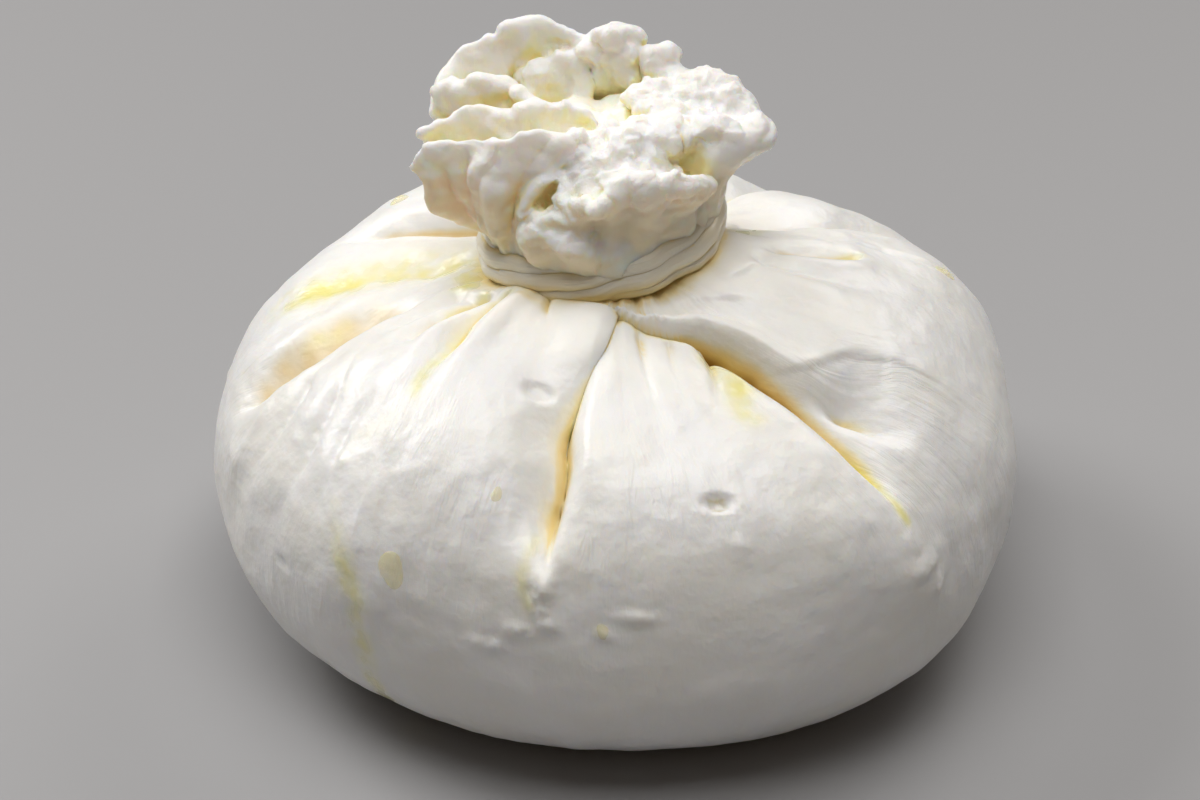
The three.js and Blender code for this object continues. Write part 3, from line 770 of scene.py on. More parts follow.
def tube_faces(rows, columns):
    r, c = np.meshgrid(np.arange(rows - 1), np.arange(columns), indexing="ij")
    a = (r * columns + c).ravel()
    b = (r * columns + (c + 1) % columns).ravel()
    quads = np.stack([a, a + columns, b + columns, b], -1)
    ring = np.arange(columns)
    top = [(rows * columns, i, (i + 1) % columns) for i in ring]
    last = (rows - 1) * columns
    low = [(rows * columns + 1, last + (i + 1) % columns, last + i) for i in ring]
    return quads.tolist() + top + low


def with_hubs(grid, columns):
    """The grid's points, then the middle of its first row and of its last."""
    return np.vstack([grid, grid[:columns].mean(0), grid[-columns:].mean(0)])


def closed_tube(name, grid, columns):
    """A closed mesh from rows of `columns` points each, with a fan at both ends."""
    faces = tube_faces(len(grid) // columns, columns)
    return mesh_from(name, with_hubs(grid, columns), faces)


def put_attribute(mesh, name, values):
    layer = mesh.attributes.new(name, "FLOAT", "POINT")
    layer.data.foreach_set("value", np.asarray(values, np.float32))


# %% Mesh of the pouch
SEAM_SHARE = 0.1      # a face that reaches this near to both ends of the map spans its seam
UV_SKIN = 100         # mm of skin for one unit of the UV map

pouch_mesh = closed_tube("pouch", points, COLUMNS)
# the first of these masks is painted shade; oil and torn are marks of the curd itself
for name, values in (("painted_shade", painted_shade), ("oil", oil), ("torn", np.clip(tears, 0, 1))):
    put_attribute(pouch_mesh, name, np.concatenate([values, [0, 0]]))

# A UV map is per face corner, so the column behind the last is told apart from the first.
corner_vertex = np.zeros(len(pouch_mesh.loops), int)
pouch_mesh.loops.foreach_get("vertex_index", corner_vertex)
strand_at = np.concatenate([strand, [0.5, 0.5]])[corner_vertex]
skin_at = np.concatenate([skin, [row_skin[0], FOOT_SKIN + FOOT_RADIUS]])[corner_vertex]
face_size = np.zeros(len(pouch_mesh.polygons), int)
pouch_mesh.polygons.foreach_get("loop_total", face_size)
owner = np.repeat(np.arange(len(face_size)), face_size)
widest = np.full(len(face_size), -1.0)
np.maximum.at(widest, owner, strand_at)
past_seam = (widest[owner] > 1 - SEAM_SHARE) & (strand_at < SEAM_SHARE)
strand_at = np.where(past_seam, strand_at + 1, strand_at)
uv = pouch_mesh.uv_layers.new(name="strands")
uv.data.foreach_set("uv", np.stack([strand_at, skin_at / UV_SKIN], -1).astype(np.float32).ravel())
pouch = link(pouch_mesh, "pouch")
print("pouch:", len(pouch_mesh.polygons), "faces")

# %% [markdown]
# ## The tuft's petals
#
# Above the neck the gathered edge of the sheet opens again, like the top of a tied sack.
# Each petal is laid between a few lines: its root in the neck, its belly, and its rim.
# The one on the right folds over towards the middle and so has a fourth line. A smooth
# curve runs up through the lines at each step along the petal, and the sheet gets its
# thickness on both sides of it, with a round rim. Thin petals are smooth like cloth, and
# the thick ones are torn and crumbly.

# %% Petal table
# Lines of (azimuth, radius, height) round the neck's axis, from root to rim.
PETALS = {
    "front_left": dict(
        lines=([(-88, 11.6, 48.2), (-64, 12.2, 48.2), (-40, 12.2, 48.8)],
               [(-82, 18.2, 54.0), (-60, 15.2, 55.4), (-38, 11.6, 55.6)],
               [(-79, 21.6, 57.9), (-70, 18.6, 61.0), (-52, 14.2, 62.4), (-35, 10.6, 62.9),
                (-17, 7.0, 61.2)]),
        thick=(2.6, 1.2), pleats=4.5, pleat_height=1.3, ragged=0.9),
    "left_inner": dict(
        lines=([(-100, 9.5, 49.0), (-80, 9.5, 49.0), (-62, 8.0, 49.0)],
               [(-90, 15.8, 56.0), (-86, 12.6, 57.0), (-74, 8.0, 57.0)],
               [(-84, 19.9, 59.4), (-88, 15.0, 62.2), (-86, 9.0, 62.8), (-80, 6.0, 62.4)]),
        thick=(3.0, 1.3), pleats=2.5, pleat_height=0.6, ragged=1.0, torn=0.2),
    "arch": dict(
        lines=([(-112, 5.6, 50.0), (-50, 4.6, 50.0), (24, 5.0, 50.0)],
               [(-98, 8.6, 57.5), (-50, 4.6, 58.0), (24, 4.2, 57.0)],
               [(-84, 11.0, 61.6), (-80, 8.0, 62.6), (-68, 4.3, 63.1), (-20, 2.2, 62.2),
                (26, 3.4, 60.4)]),
        thick=(3.2, 1.4), pleats=2.0, pleat_height=0.5, ragged=1.0, torn=0.2),
    "left_lobe": dict(
        lines=([(-122, 10.6, 49.0), (-104, 8.6, 49.0), (-84, 7.0, 49.0)],
               [(-110, 16.4, 57.0), (-104, 13.0, 57.8), (-96, 8.0, 58.0)],
               [(-105, 20.0, 61.6), (-102, 16.3, 63.4), (-105, 13.0, 64.2), (-102, 8.6, 62.9),
                (-98, 6.2, 61.8)]),
        thick=(3.4, 2.0), pleats=2.0, pleat_height=0.5, ragged=0.9, torn=0.3),
    "back_left": dict(
        lines=([(-104, 11.6, 48.4), (-120, 11.8, 48.4), (-140, 11.6, 48.4)],
               [(-105, 16.8, 54.6), (-120, 16.6, 56.0), (-138, 14.4, 57.5)],
               [(-102, 19.6, 59.8), (-115, 19.9, 62.4), (-124, 18.6, 65.2),
                (-132, 16.0, 66.8)]),
        thick=(2.8, 1.4), pleats=2.5, pleat_height=0.5, ragged=0.3),
    "back_cup": dict(
        lines=([(-126, 11.4, 48.4), (-150, 11.6, 48.4), (-180, 11.2, 48.4)],
               [(-127, 15.6, 56.4), (-150, 14.6, 57.8), (-176, 11.6, 58.2)],
               [(-128, 16.6, 66.3), (-138, 15.0, 67.8), (-148, 13.8, 68.2), (-160, 12.2, 67.5),
                (-171, 9.6, 66.7)]),
        thick=(2.8, 1.2), pleats=3.0, pleat_height=0.7, ragged=0.5, torn=0.05),
    "cup_lump": dict(
        lines=([(-136, 8.0, 50.0), (-152, 7.4, 50.0), (-174, 6.6, 50.0)],
               [(-134, 12.0, 58.0), (-152, 10.4, 58.6), (-172, 8.4, 58.8)],
               [(-132, 13.0, 61.6), (-144, 11.6, 63.0), (-158, 10.6, 64.2), (-172, 9.0, 63.4)]),
        thick=(4.4, 3.2), pleats=2.5, pleat_height=0.4, ragged=0.5, torn=0.5),
    "back_fold_a": dict(
        lines=([(196, 10.6, 48.4), (170, 10.8, 48.4), (142, 10.6, 48.4)],
               [(192, 10.4, 57.8), (170, 11.2, 58.2), (148, 10.2, 57.6)],
               [(190, 8.4, 65.2), (176, 9.0, 66.8), (160, 9.4, 66.8), (148, 8.8, 64.8)]),
        thick=(4.6, 3.6), pleats=2.0, pleat_height=0.5, ragged=0.6, torn=0.55, crumbs=0.15),
    "back_fold_b": dict(
        lines=([(154, 10.4, 48.6), (128, 10.8, 48.6), (98, 10.6, 48.6)],
               [(150, 10.4, 56.8), (126, 11.4, 57.0), (100, 11.0, 56.6)],
               [(146, 8.6, 64.4), (134, 9.6, 64.8), (120, 10.0, 63.6), (106, 9.6, 61.8)]),
        thick=(4.6, 3.6), pleats=2.5, pleat_height=0.5, ragged=0.6, torn=0.55, crumbs=0.2),
    "right_chunk": dict(
        lines=([(50, 11.6, 49.4), (86, 11.8, 50.0), (124, 11.2, 49.6)],
               [(57, 12.6, 55.4), (86, 13.6, 56.4), (122, 12.0, 56.8)],
               [(60, 11.8, 60.4), (70, 15.8, 60.6), (80, 17.6, 60.2), (94, 16.6, 61.4),
                (106, 14.8, 62.8), (118, 11.6, 62.8)],
               [(44, 5.4, 59.6), (80, 6.4, 61.2), (132, 6.0, 62.2)]),
        thick=(3.2, 3.0), pleats=3.0, pleat_height=0.25, ragged=1.3, torn=0.9, crumbs=0.3),
    "front_block": dict(
        lines=([(-40, 11.8, 48.6), (6, 12.4, 48.8), (54, 12.0, 49.4)],
               [(-33, 12.8, 52.6), (6, 13.0, 54.2), (52, 12.8, 54.0)],
               [(-24, 13.4, 56.6), (-14, 14.4, 56.8), (-5, 14.8, 57.2), (4, 15.0, 58.9),
                (14, 15.2, 59.7), (26, 15.4, 59.5), (38, 15.4, 58.9), (50, 15.2, 57.2),
                (58, 14.2, 56.2)]),
        thick=(3.4, 1.6), pleats=2.5, pleat_height=0.5, ragged=1.1, torn=0.8, crumbs=0.1,
        torn_from=0.7),
    "front_top": dict(
        lines=([(-24, 11.4, 54.5), (12, 12.2, 56.0), (50, 12.0, 54.8)],
               [(-26, 10.4, 57.0), (12, 11.0, 58.4), (54, 10.6, 57.4)],
               [(-28, 6.6, 59.2), (12, 5.0, 60.6), (60, 6.6, 60.0)]),
        thick=(4.0, 3.8), pleats=2.0, pleat_height=0.4, ragged=0.9, torn=0.9, crumbs=0.3,
        torn_from=0.0),
    "front_ledge": dict(
        lines=([(-46, 11.6, 48.4), (-26, 12.2, 48.4), (0, 12.4, 48.6)],
               [(-43, 13.0, 51.6), (-26, 14.0, 52.0), (-2, 14.6, 52.4)],
               [(-41, 12.2, 53.8), (-28, 13.2, 54.6), (-14, 13.8, 54.4), (-2, 13.6, 54.0)]),
        thick=(3.0, 2.2), pleats=1.5, pleat_height=0.3, ragged=0.9, torn=0.6, torn_from=0.3),
    "middle_ledge": dict(
        lines=([(-24, 6.6, 50.0), (20, 7.0, 50.0), (74, 7.2, 50.0)],
               [(-20, 7.4, 56.4), (20, 8.6, 57.4), (70, 8.6, 57.6)],
               [(-18, 7.2, 59.4), (12, 8.0, 60.8), (42, 8.6, 60.8), (68, 9.0, 60.4)]),
        thick=(5.0, 4.4), pleats=2.0, pleat_height=0.3, ragged=0.8, torn=0.9, crumbs=0.15),
}
CRUMBS_FROM = 0.56      # share of the way up a petal where crumbs begin
PETAL_DEFAULTS = dict(torn=0.0, torn_from=CRUMBS_FROM, crumbs=0.0)
print(len(PETALS), "petals")

# %% [markdown]
# The same few lines of code make every petal, so a change of one number in the table
# reshapes one petal and nothing else.

# %% Petal maker
NECK_AXIS = (-1.6, -0.4, 0.0)
PETAL_ACROSS = 72
PETAL_UP = 44
PETAL_CAP = 7
PETAL_SIDE = 0.16              # share of the petal over which a side edge is rounded off
PLEAT_NOISE = (2.2, 0.9, 3.7)  # noise units for each pleat, from root to rim, between petals
# (size in mm, share, seed)
WOBBLES = ((3.2, 1.0, 40), (1.4, 0.5, 50))


def round_neck(spots_on_line):
    azimuth, radius, height = np.array(spots_on_line, float).T
    return around_axis(np.radians(azimuth), radius, height) + NECK_AXIS


def sheet_normals(grid):
    up = np.gradient(grid, axis=1)
    return unit(np.cross(np.gradient(grid, axis=0), up)), unit(up)


def petal_grid(seed, lines, thick, pleats, pleat_height, ragged, **masks):
    """The sheet's front, its round rim and its back, as a grid of points. The masks of
    the petal don't change its shape."""
    drawn = [curve_through(round_neck(line), PETAL_ACROSS) for line in lines]
    middle = curve_through(drawn, PETAL_UP).swapaxes(0, 1)
    u = np.linspace(0, 1, PETAL_ACROSS + 1)[:, None]
    v = np.linspace(0, 1, PETAL_UP + 1)[None, :]
    normal, up = sheet_normals(middle)
    across, upward, apart = PLEAT_NOISE
    spots_uv = np.stack(np.broadcast_arrays(u * pleats * across, v * upward, apart * seed), -1)
    pleat = noise(spots_uv.reshape(-1, 3), 20 + seed).reshape(middle.shape[:2])
    middle = middle + normal * (pleat_height * 2 * pleat * np.sin(np.pi * v) ** 0.5)[..., None]
    flat_spots = middle.reshape(-1, 3)
    wobble = 0
    for size, share, first in WOBBLES:
        pushes = [noise(flat_spots / size, first + seed + axis) for axis in range(3)]
        wobble = wobble + share * np.stack(pushes, -1)
    middle = middle + ragged * wobble.reshape(middle.shape) * (v ** 2)[..., None]
    normal, up = sheet_normals(middle)
    edge = np.clip((np.abs(2 * u - 1) - (1 - PETAL_SIDE)) / PETAL_SIDE, 0, 0.97)
    half = (0.5 * mix(*thick, v) * np.sqrt(1 - edge ** 2))[..., None]
    front, back = middle + normal * half, middle - normal * half
    bend = np.linspace(0, np.pi, PETAL_CAP + 2)[None, 1:-1, None]
    rim, rim_half, rim_normal, rim_up = (grid[:, -1:] for grid in (middle, half, normal, up))
    cap = rim + rim_half * (np.cos(bend) * rim_normal + np.sin(bend) * rim_up)
    return np.concatenate([front, cap, back[:, ::-1]], axis=1)


def signed_volume(vertices, faces):
    total = 0.0
    for face in faces:
        a = vertices[face[0]]
        for i in range(1, len(face) - 1):
            total += np.dot(a, np.cross(vertices[face[i]], vertices[face[i + 1]]))
    return total / 6


# %% Petals
MASK_FADE = 0.2      # share of the petal over which a mask comes in

high = np.linspace(0, 1, PETAL_UP + 1)
petal_high = np.concatenate([high, np.ones(PETAL_CAP), high[::-1]])
petal_vertices, petal_faces, petal_torn, petal_crumbs = [], [], [], []
count = 0
for seed, petal in enumerate(PETALS.values()):
    petal = {**PETAL_DEFAULTS, **petal}
    grid = petal_grid(seed, **petal)
    rows, columns = grid.shape[:2]
    vertices = with_hubs(grid.reshape(-1, 3), columns)
    faces = tube_faces(rows, columns)
    if signed_volume(vertices, faces) < 0:
        faces = [face[::-1] for face in faces]
    petal_vertices.append(vertices)
    petal_faces += [[i + count for i in face] for face in faces]
    for kept, amount, begins in (
            (petal_torn, petal["torn"], petal["torn_from"]),
            (petal_crumbs, petal["crumbs"], CRUMBS_FROM)):
        on_top = smooth((petal_high - begins) / MASK_FADE)
        kept.append(np.concatenate([amount * np.tile(on_top, rows), [0, 0]]))
    count += len(vertices)
petal_vertices = np.vstack(petal_vertices)
petal_torn = np.concatenate(petal_torn)
petals = link(mesh_from("petals", petal_vertices, petal_faces), "petals")
put_attribute(petals.data, "crumbs", np.concatenate(petal_crumbs))
print("petals:", len(petal_faces), "faces, top at", petal_vertices[:, 2].max().round(1), "mm")

# %% [markdown]
# ## Crumbs of torn curd
#
# Where the tuft was torn it is crumbly, like the top of a cauliflower. That is a thing
# that repeats by a rule, so Geometry Nodes make it: points are spread over the torn
# faces with a least spacing, a small ball is put on each at its own size and turn, and
# noise pushes the balls out of round. A tree is only a graph, so first come a few
# helpers that make a tree with named inputs, add its nodes, and run it.

# %% Node helpers
def add(tree, kind, feeds=None, output=0, **settings):
    """A new node. Gives back one of its outputs, or all of them if `output` is None."""
    node = tree.nodes.new(kind)
    for key, value in settings.items():
        setattr(node, key, value)
    feed(tree, node, feeds or {})
    return node.outputs if output is None else node.outputs[output]


def feed(tree, node, feeds):
    """Link a node's inputs to sockets, or set them to values."""
    for key, value in feeds.items():
        if isinstance(value, bpy.types.NodeSocket):
            tree.links.new(value, node.inputs[key])
        else:
            node.inputs[key].default_value = value


def calculate(tree, operation, *values):
    return add(tree, "ShaderNodeMath", dict(enumerate(values)), operation=operation)


def tools_for(tree, *tools):
    """The same tools with the tree filled in, so that its name is said only once."""
    return [partial(tool, tree) for tool in tools]


def new_material(name):
    material = bpy.data.materials.new(name)
    material.use_nodes = True
    return material


curd_material = new_material("torn curd")
skin_material = new_material("stretched curd")
collar_material = new_material("twisted curd")
oil_material = new_material("olive oil")


# %% Geometry Nodes helpers
def new_tree(name, inputs):
    tree = bpy.data.node_groups.new(name, "GeometryNodeTree")
    tree.interface.new_socket("Geometry", in_out="INPUT", socket_type="NodeSocketGeometry")
    for label, kind, value in inputs:
        socket = tree.interface.new_socket(label, in_out="INPUT", socket_type="NodeSocket" + kind)
        if value is not None:
            socket.default_value = value
    tree.interface.new_socket("Geometry", in_out="OUTPUT", socket_type="NodeSocketGeometry")
    return tree, tree.nodes.new("NodeGroupInput").outputs


def finish_tree(tree, geometry, material_socket):
    realized = add(tree, "GeometryNodeRealizeInstances", {"Geometry": geometry})
    painted = add(tree, "GeometryNodeSetMaterial", {
        "Geometry": realized, "Material": material_socket})
    smoothed = add(tree, "GeometryNodeSetShadeSmooth", {"Geometry": painted})
    tree.links.new(smoothed, tree.nodes.new("NodeGroupOutput").inputs[0])


def plain_mesh(piece):
    """What the piece's modifiers make of it, as a mesh of its own."""
    evaluated = piece.evaluated_get(bpy.context.evaluated_depsgraph_get())
    return bpy.data.meshes.new_from_object(evaluated)


def grow(piece, tree, values):
    """Run a tree on a piece and give back the result as a plain mesh."""
    modifier = piece.modifiers.new(tree.name, "NODES")
    modifier.node_group = tree
    for item in tree.interface.items_tree:
        if item.item_type == "SOCKET" and item.in_out == "INPUT" and item.name in values:
            modifier[item.identifier] = values[item.name]
    mesh = plain_mesh(piece)
    piece.modifiers.remove(modifier)
    return mesh


# %% Crumb tree
crumb_tree, given = new_tree("curd crumbs", [
    ("Spacing", "Float", 1.2 * MM),
    ("Crumbs per square metre", "Float", 600000.0),
    ("Smallest", "Float", 0.4 * MM),
    ("Largest", "Float", 1.1 * MM),
    ("Sink", "Float", 0.4 * MM),
    ("Out of round", "Float", 0.5 * MM),
    ("Lump size", "Float", 1.1 * MM),
    ("Seed", "Int", 1),
    ("Material", "Material", None),
])
node, calc = tools_for(crumb_tree, add, calculate)
crumbly_here = node("GeometryNodeInputNamedAttribute", {"Name": "crumbs"}, "Attribute",
                    data_type="FLOAT")
scattered = node("GeometryNodeDistributePointsOnFaces", {
    "Mesh": given["Geometry"], "Distance Min": given["Spacing"],
    "Density Max": given["Crumbs per square metre"], "Density Factor": crumbly_here,
    "Seed": given["Seed"]}, None, distribute_method="POISSON")
sunk = node("ShaderNodeVectorMath", {
    0: scattered["Normal"], "Scale": calc("MULTIPLY", given["Sink"], -1.0)}, operation="SCALE")
seated = node("GeometryNodeSetPosition", {"Geometry": scattered["Points"], "Offset": sunk})
ball = node("GeometryNodeMeshIcoSphere", {"Radius": 1.0, "Subdivisions": 3}, "Mesh")
smallest = node("ShaderNodeCombineXYZ", dict.fromkeys(range(3), given["Smallest"]))
largest = node("ShaderNodeCombineXYZ", dict.fromkeys(range(3), given["Largest"]))
size = node("FunctionNodeRandomValue", {0: smallest, 1: largest, "Seed": given["Seed"]},
            data_type="FLOAT_VECTOR")
turned = node("FunctionNodeRandomValue", {1: (2 * math.pi,) * 3, "Seed": given["Seed"]},
              data_type="FLOAT_VECTOR")
balls = node("GeometryNodeInstanceOnPoints", {
    "Points": seated, "Instance": ball, "Scale": size, "Rotation": turned}, "Instances")
real_balls = node("GeometryNodeRealizeInstances", {"Geometry": balls})
lumps = node("ShaderNodeTexNoise", {
    "Vector": node("GeometryNodeInputPosition"), "Detail": 1.0,
    "Scale": calc("DIVIDE", 1.0, given["Lump size"])})
push = calc("MULTIPLY", calc("SUBTRACT", lumps, 0.5), given["Out of round"])
offset = node("ShaderNodeVectorMath", {0: node("GeometryNodeInputNormal"), "Scale": push},
              operation="SCALE")
shaped = node("GeometryNodeSetPosition", {"Geometry": real_balls, "Offset": offset})
finish_tree(crumb_tree, shaped, given["Material"])

# %% Crumbs
crumb_mesh = grow(petals, crumb_tree, {
    "Spacing": 1.6 * MM, "Smallest": 0.45 * MM, "Largest": 1.5 * MM, "Sink": 0.5 * MM,
    "Out of round": 1.2 * MM, "Lump size": 1.7 * MM, "Seed": 4, "Material": curd_material})
print("crumbs:", len(crumb_mesh.polygons), "faces")

# %% [markdown]
# ## One tuft out of many petals
#
# Real petals are one sheet, so they must not look stuck together. All petals, the crumbs
# and a heart that fills the neck are put in one mesh, and the Remesh modifier casts them
# in one skin: it fills space with small cubes and wraps a surface round the filled ones.
# That melts the joints into soft creases. Noise on the torn parts comes after, because
# it should run over the joints and not stop at them.

# %% Heart of the neck
# (radius, height) of the heart, from its foot in the neck to its top
HEART_PROFILE = (
    (11, 37), (11.4, 46), (11.8, 50.5), (11.4, 54), (10.2, 57.6), (7.6, 60.2), (2, 61.0))
HEART_ROWS = 30
HEART_COLUMNS = 72
HEART_LUMP = 3.5       # size and height of the lumps on the heart's top, mm
HEART_LUMP_HEIGHT = 1.6
HEART_LUMPY = (52, 56)      # mm; the lumps grow between these heights

around = np.linspace(0, 2 * np.pi, HEART_COLUMNS, endpoint=False)
heart_grid = NECK_AXIS + np.concatenate([
    around_axis(around, radius, np.full(HEART_COLUMNS, height))
    for radius, height in curve_through(HEART_PROFILE, HEART_ROWS)[::-1]])
heart_lumps = HEART_LUMP_HEIGHT * noise(heart_grid / HEART_LUMP, 61)
heart_grid[:, 2] += heart_lumps * ramp(heart_grid[:, 2], *HEART_LUMPY)
heart_mesh = closed_tube("heart", heart_grid, HEART_COLUMNS)
print("heart:", len(heart_mesh.polygons), "faces")

# %% Fuse the tuft
VOXEL = 0.275
RELAX_SHARE = 0.5
RELAX_ROUNDS = 4


def joined_mesh(name, meshes, face_outward=False):
    joined = bmesh.new()
    for mesh in meshes:
        joined.from_mesh(mesh)
    if face_outward:
        bmesh.ops.recalc_face_normals(joined, faces=joined.faces)
    mesh = bpy.data.meshes.new(name)
    joined.to_mesh(mesh)
    joined.free()
    return mesh


def vertex_array(mesh, what="co"):
    values = np.zeros(len(mesh.vertices) * 3)
    mesh.vertices.foreach_get(what, values)
    return values.reshape(-1, 3)


tuft = link(joined_mesh("tuft", [petals.data, crumb_mesh, heart_mesh]), "tuft")
cast = tuft.modifiers.new("cast", "REMESH")
cast.mode = "VOXEL"
cast.voxel_size = VOXEL * MM
relax = tuft.modifiers.new("relax", "SMOOTH")
relax.factor = RELAX_SHARE
relax.iterations = RELAX_ROUNDS
tuft.data = plain_mesh(tuft)
tuft.modifiers.clear()
bpy.data.objects.remove(petals)
print("tuft:", len(tuft.data.polygons), "faces")

# %% [markdown]
# The new mesh has lost the `torn` mask of the petals, so each vertex takes it from the
# nearest petal vertices. Then noise roughens it, in three sizes: soft swellings all over,
# and on the torn parts lumps as well. `abs` of the noise gives round bumps with sharp
# valleys between them, as curds have, and below zero it gives round hollows with sharp
# ridges, as torn edges have.

# %% Roughen the torn parts
# (size, height) in mm; a height below zero is for ridges
LUMP_NOISE = ((4.4, 0.8), (2.3, -0.5), (1.1, 0.16))
SMOOTH_NOISE = ((5.0, 0.6), (2.4, 0.3), (1.2, 0.12))
LUMP_GAIN, LUMP_BASE = 1.6, 0.35     # they bring the lumps' mean height close to nothing
TORN_NEIGHBOURS = 4
# Painted shade on the tuft: faces that don't look up are given the warm, darker shade colour, more
# of it lower down, as if less light reached them there. The heights say where it starts and where
# it is full.
TUFT_SIDE_SHADE = 0.40          # on faces that don't look up
SHADE_HEIGHTS = (64, 55)     # mm; above the first there is no warmth, below the second all of it

places = vertex_array(tuft.data) / MM
normals = vertex_array(tuft.data, "normal")
lookup = kdtree.KDTree(len(petal_vertices))
for i, spot in enumerate(petal_vertices):
    lookup.insert(spot, i)
lookup.balance()
torn = np.array([np.mean([petal_torn[i] for _, i, _ in lookup.find_n(spot, TORN_NEIGHBOURS)])
                 for spot in places])
bumps = sum(height * (LUMP_GAIN * np.abs(noise(places / size, 70 + i)) - LUMP_BASE)
            for i, (size, height) in enumerate(LUMP_NOISE))
soft = sum(height * noise(places / size, 80 + i)
           for i, (size, height) in enumerate(SMOOTH_NOISE))
places = places + normals * (torn * bumps + soft)[:, None]
tuft.data.vertices.foreach_set("co", (places * MM).astype(np.float32).ravel())
tuft.data.update()
put_attribute(tuft.data, "torn", torn)
facing_up = vertex_array(tuft.data, "normal")[:, 2]
shaded_side = TUFT_SIDE_SHADE * smooth(0.8 - facing_up)
put_attribute(tuft.data, "painted_shade", shaded_side * ramp(places[:, 2], *SHADE_HEIGHTS))
print("tuft top at", places[:, 2].max().round(1), "mm, torn share", (torn > 0.4).mean().round(2))

# %% [markdown]
# ## The twisted collar
#
# The maker wrings the sack shut, so the neck is a short rope of twisted strands. One long closed
# line can draw them all: it winds round the ring of the neck several times while it circles the
# ring's own section, and closes on itself when the two counts share no factor. A Geometry Nodes
# tree bends a line into that path and sweeps a small circle along it. Its inputs are the sizes a
# maker would name: how many strands, how often they turn, and how thick they are.

# %% Collar tree
OVAL_STEPS = 18
WANDER_SCALE = 190.0      # bends per metre

collar_tree, given = new_tree("twisted collar", [
    ("Strands", "Float", 7.0),
    ("Turns", "Float", 5.0),
    ("Steps", "Int", 1600),
    ("Middle", "Vector", (0.0, 0.0, 0.0)),
    ("Ring radius", "Float", 11.4 * MM),
    ("Section width", "Float", 2.2 * MM),
    ("Section height", "Float", 2.2 * MM),
    ("Strand radius", "Float", 1.3 * MM),
    ("Tilt", "Float", 1.9 * MM),
    ("Wander", "Float", 0.8 * MM),
    ("Seed", "Float", 3.0),
    ("Material", "Material", None),
])
node, calc = tools_for(collar_tree, add, calculate)
straight = node("GeometryNodeCurvePrimitiveLine")
stepped = node("GeometryNodeResampleCurve", {"Curve": straight, "Count": given["Steps"]})
closed = node("GeometryNodeSetSplineCyclic", {"Geometry": stepped, "Cyclic": True})
index = node("GeometryNodeInputIndex")
part_way = calc("MULTIPLY", calc("DIVIDE", index, given["Steps"]), 2 * math.pi)
ring_turn = calc("ADD", calc("MULTIPLY", part_way, given["Strands"]), math.pi)
section_turn = calc("MULTIPLY", part_way, given["Turns"])
reach = calc("MULTIPLY_ADD", calc("COSINE", section_turn), given["Section width"],
             given["Ring radius"])
ring_sine, ring_cosine = calc("SINE", ring_turn), calc("COSINE", ring_turn)
lift = calc("MULTIPLY_ADD", calc("SINE", section_turn), given["Section height"],
            calc("MULTIPLY", ring_sine, given["Tilt"]))
path = node("ShaderNodeCombineXYZ", {
    0: calc("MULTIPLY", reach, ring_sine),
    1: calc("MULTIPLY", calc("MULTIPLY", reach, ring_cosine), -1.0),
    2: lift})
placed = node("ShaderNodeVectorMath", {0: path, 1: given["Middle"]}, operation="ADD")
wandering = node("ShaderNodeTexNoise", {
    "Vector": placed, "W": given["Seed"], "Scale": WANDER_SCALE, "Detail": 1.0}, "Color",
    noise_dimensions="4D")
centred = node("ShaderNodeVectorMath", {0: wandering, 1: (0.5,) * 3}, operation="SUBTRACT")
drift = node("ShaderNodeVectorMath", {0: centred, "Scale": given["Wander"]}, operation="SCALE")
bent = node("GeometryNodeSetPosition", {
    "Geometry": closed, "Position": placed, "Offset": drift})
marked = node("GeometryNodeStoreNamedAttribute", {
    "Geometry": bent, "Name": "along", "Value": part_way}, data_type="FLOAT", domain="POINT")
oval = node("GeometryNodeCurvePrimitiveCircle", {
    "Resolution": OVAL_STEPS, "Radius": given["Strand radius"]})
oval_turn = calc("MULTIPLY", index, 2 * math.pi / OVAL_STEPS)
oval_place = node("ShaderNodeCombineXYZ", {
    0: calc("COSINE", oval_turn), 1: calc("SINE", oval_turn)})
oval_marked = node("GeometryNodeStoreNamedAttribute", {
    "Geometry": oval, "Name": "around", "Value": oval_place},
    data_type="FLOAT_VECTOR", domain="POINT")
swept = node("GeometryNodeCurveToMesh", {
    "Curve": marked, "Profile Curve": oval_marked, "Fill Caps": False})
finish_tree(collar_tree, swept, given["Material"])

# %% Collar
COLLAR_HEIGHT = 47.3

collar = link(bpy.data.meshes.new("collar"), "collar")
collar.data = grow(collar, collar_tree, {
    "Middle": (NECK_AXIS[0] * MM, NECK_AXIS[1] * MM, COLLAR_HEIGHT * MM),
    "Strands": 8.0, "Turns": 5.0, "Steps": 1840, "Wander": 1.7 * MM,
    "Section width": 1.7 * MM, "Section height": 2.1 * MM, "Strand radius": 1.3 * MM,
    "Material": collar_material})
print("collar:", len(collar.data.polygons), "faces,",
      [round(x / MM, 1) for x in collar.dimensions], "mm")

# %% [markdown]
# ## How deep each spot lies
#
# Light that gets into a narrow fold bounces many times between cream-coloured walls, and each
# bounce makes it warmer. The finish paints that in as a warm shade in the curd's colour, so it
# needs to know how deep in a fold a spot is.
# A few short rays are sent from each vertex, and the share that is blocked is kept as an
# attribute named `cavity`. It belongs to the shape alone, so it looks the same from
# every side.

# %% Cavity attribute
CAVITY_REACH = 7.0
CAVITY_RAYS = 14
CAVITY_START = 0.25
CAVITY_FAR = 0.6            # how much less a wall at full reach counts than one close by
CAVITY_LOWEST = {"pouch": 12.0}      # mm; nothing shades the round belly below this
GOLDEN_TURN = 0.618


def cosine_rays(count, seed):
    rng = np.random.default_rng(seed)
    spin = 2 * np.pi * (np.arange(count) * GOLDEN_TURN % 1)
    radius = np.sqrt((np.arange(count) + rng.random(count) * 0.5) / count)
    return np.stack([radius * np.cos(spin), radius * np.sin(spin), np.sqrt(1 - radius ** 2)], -1)


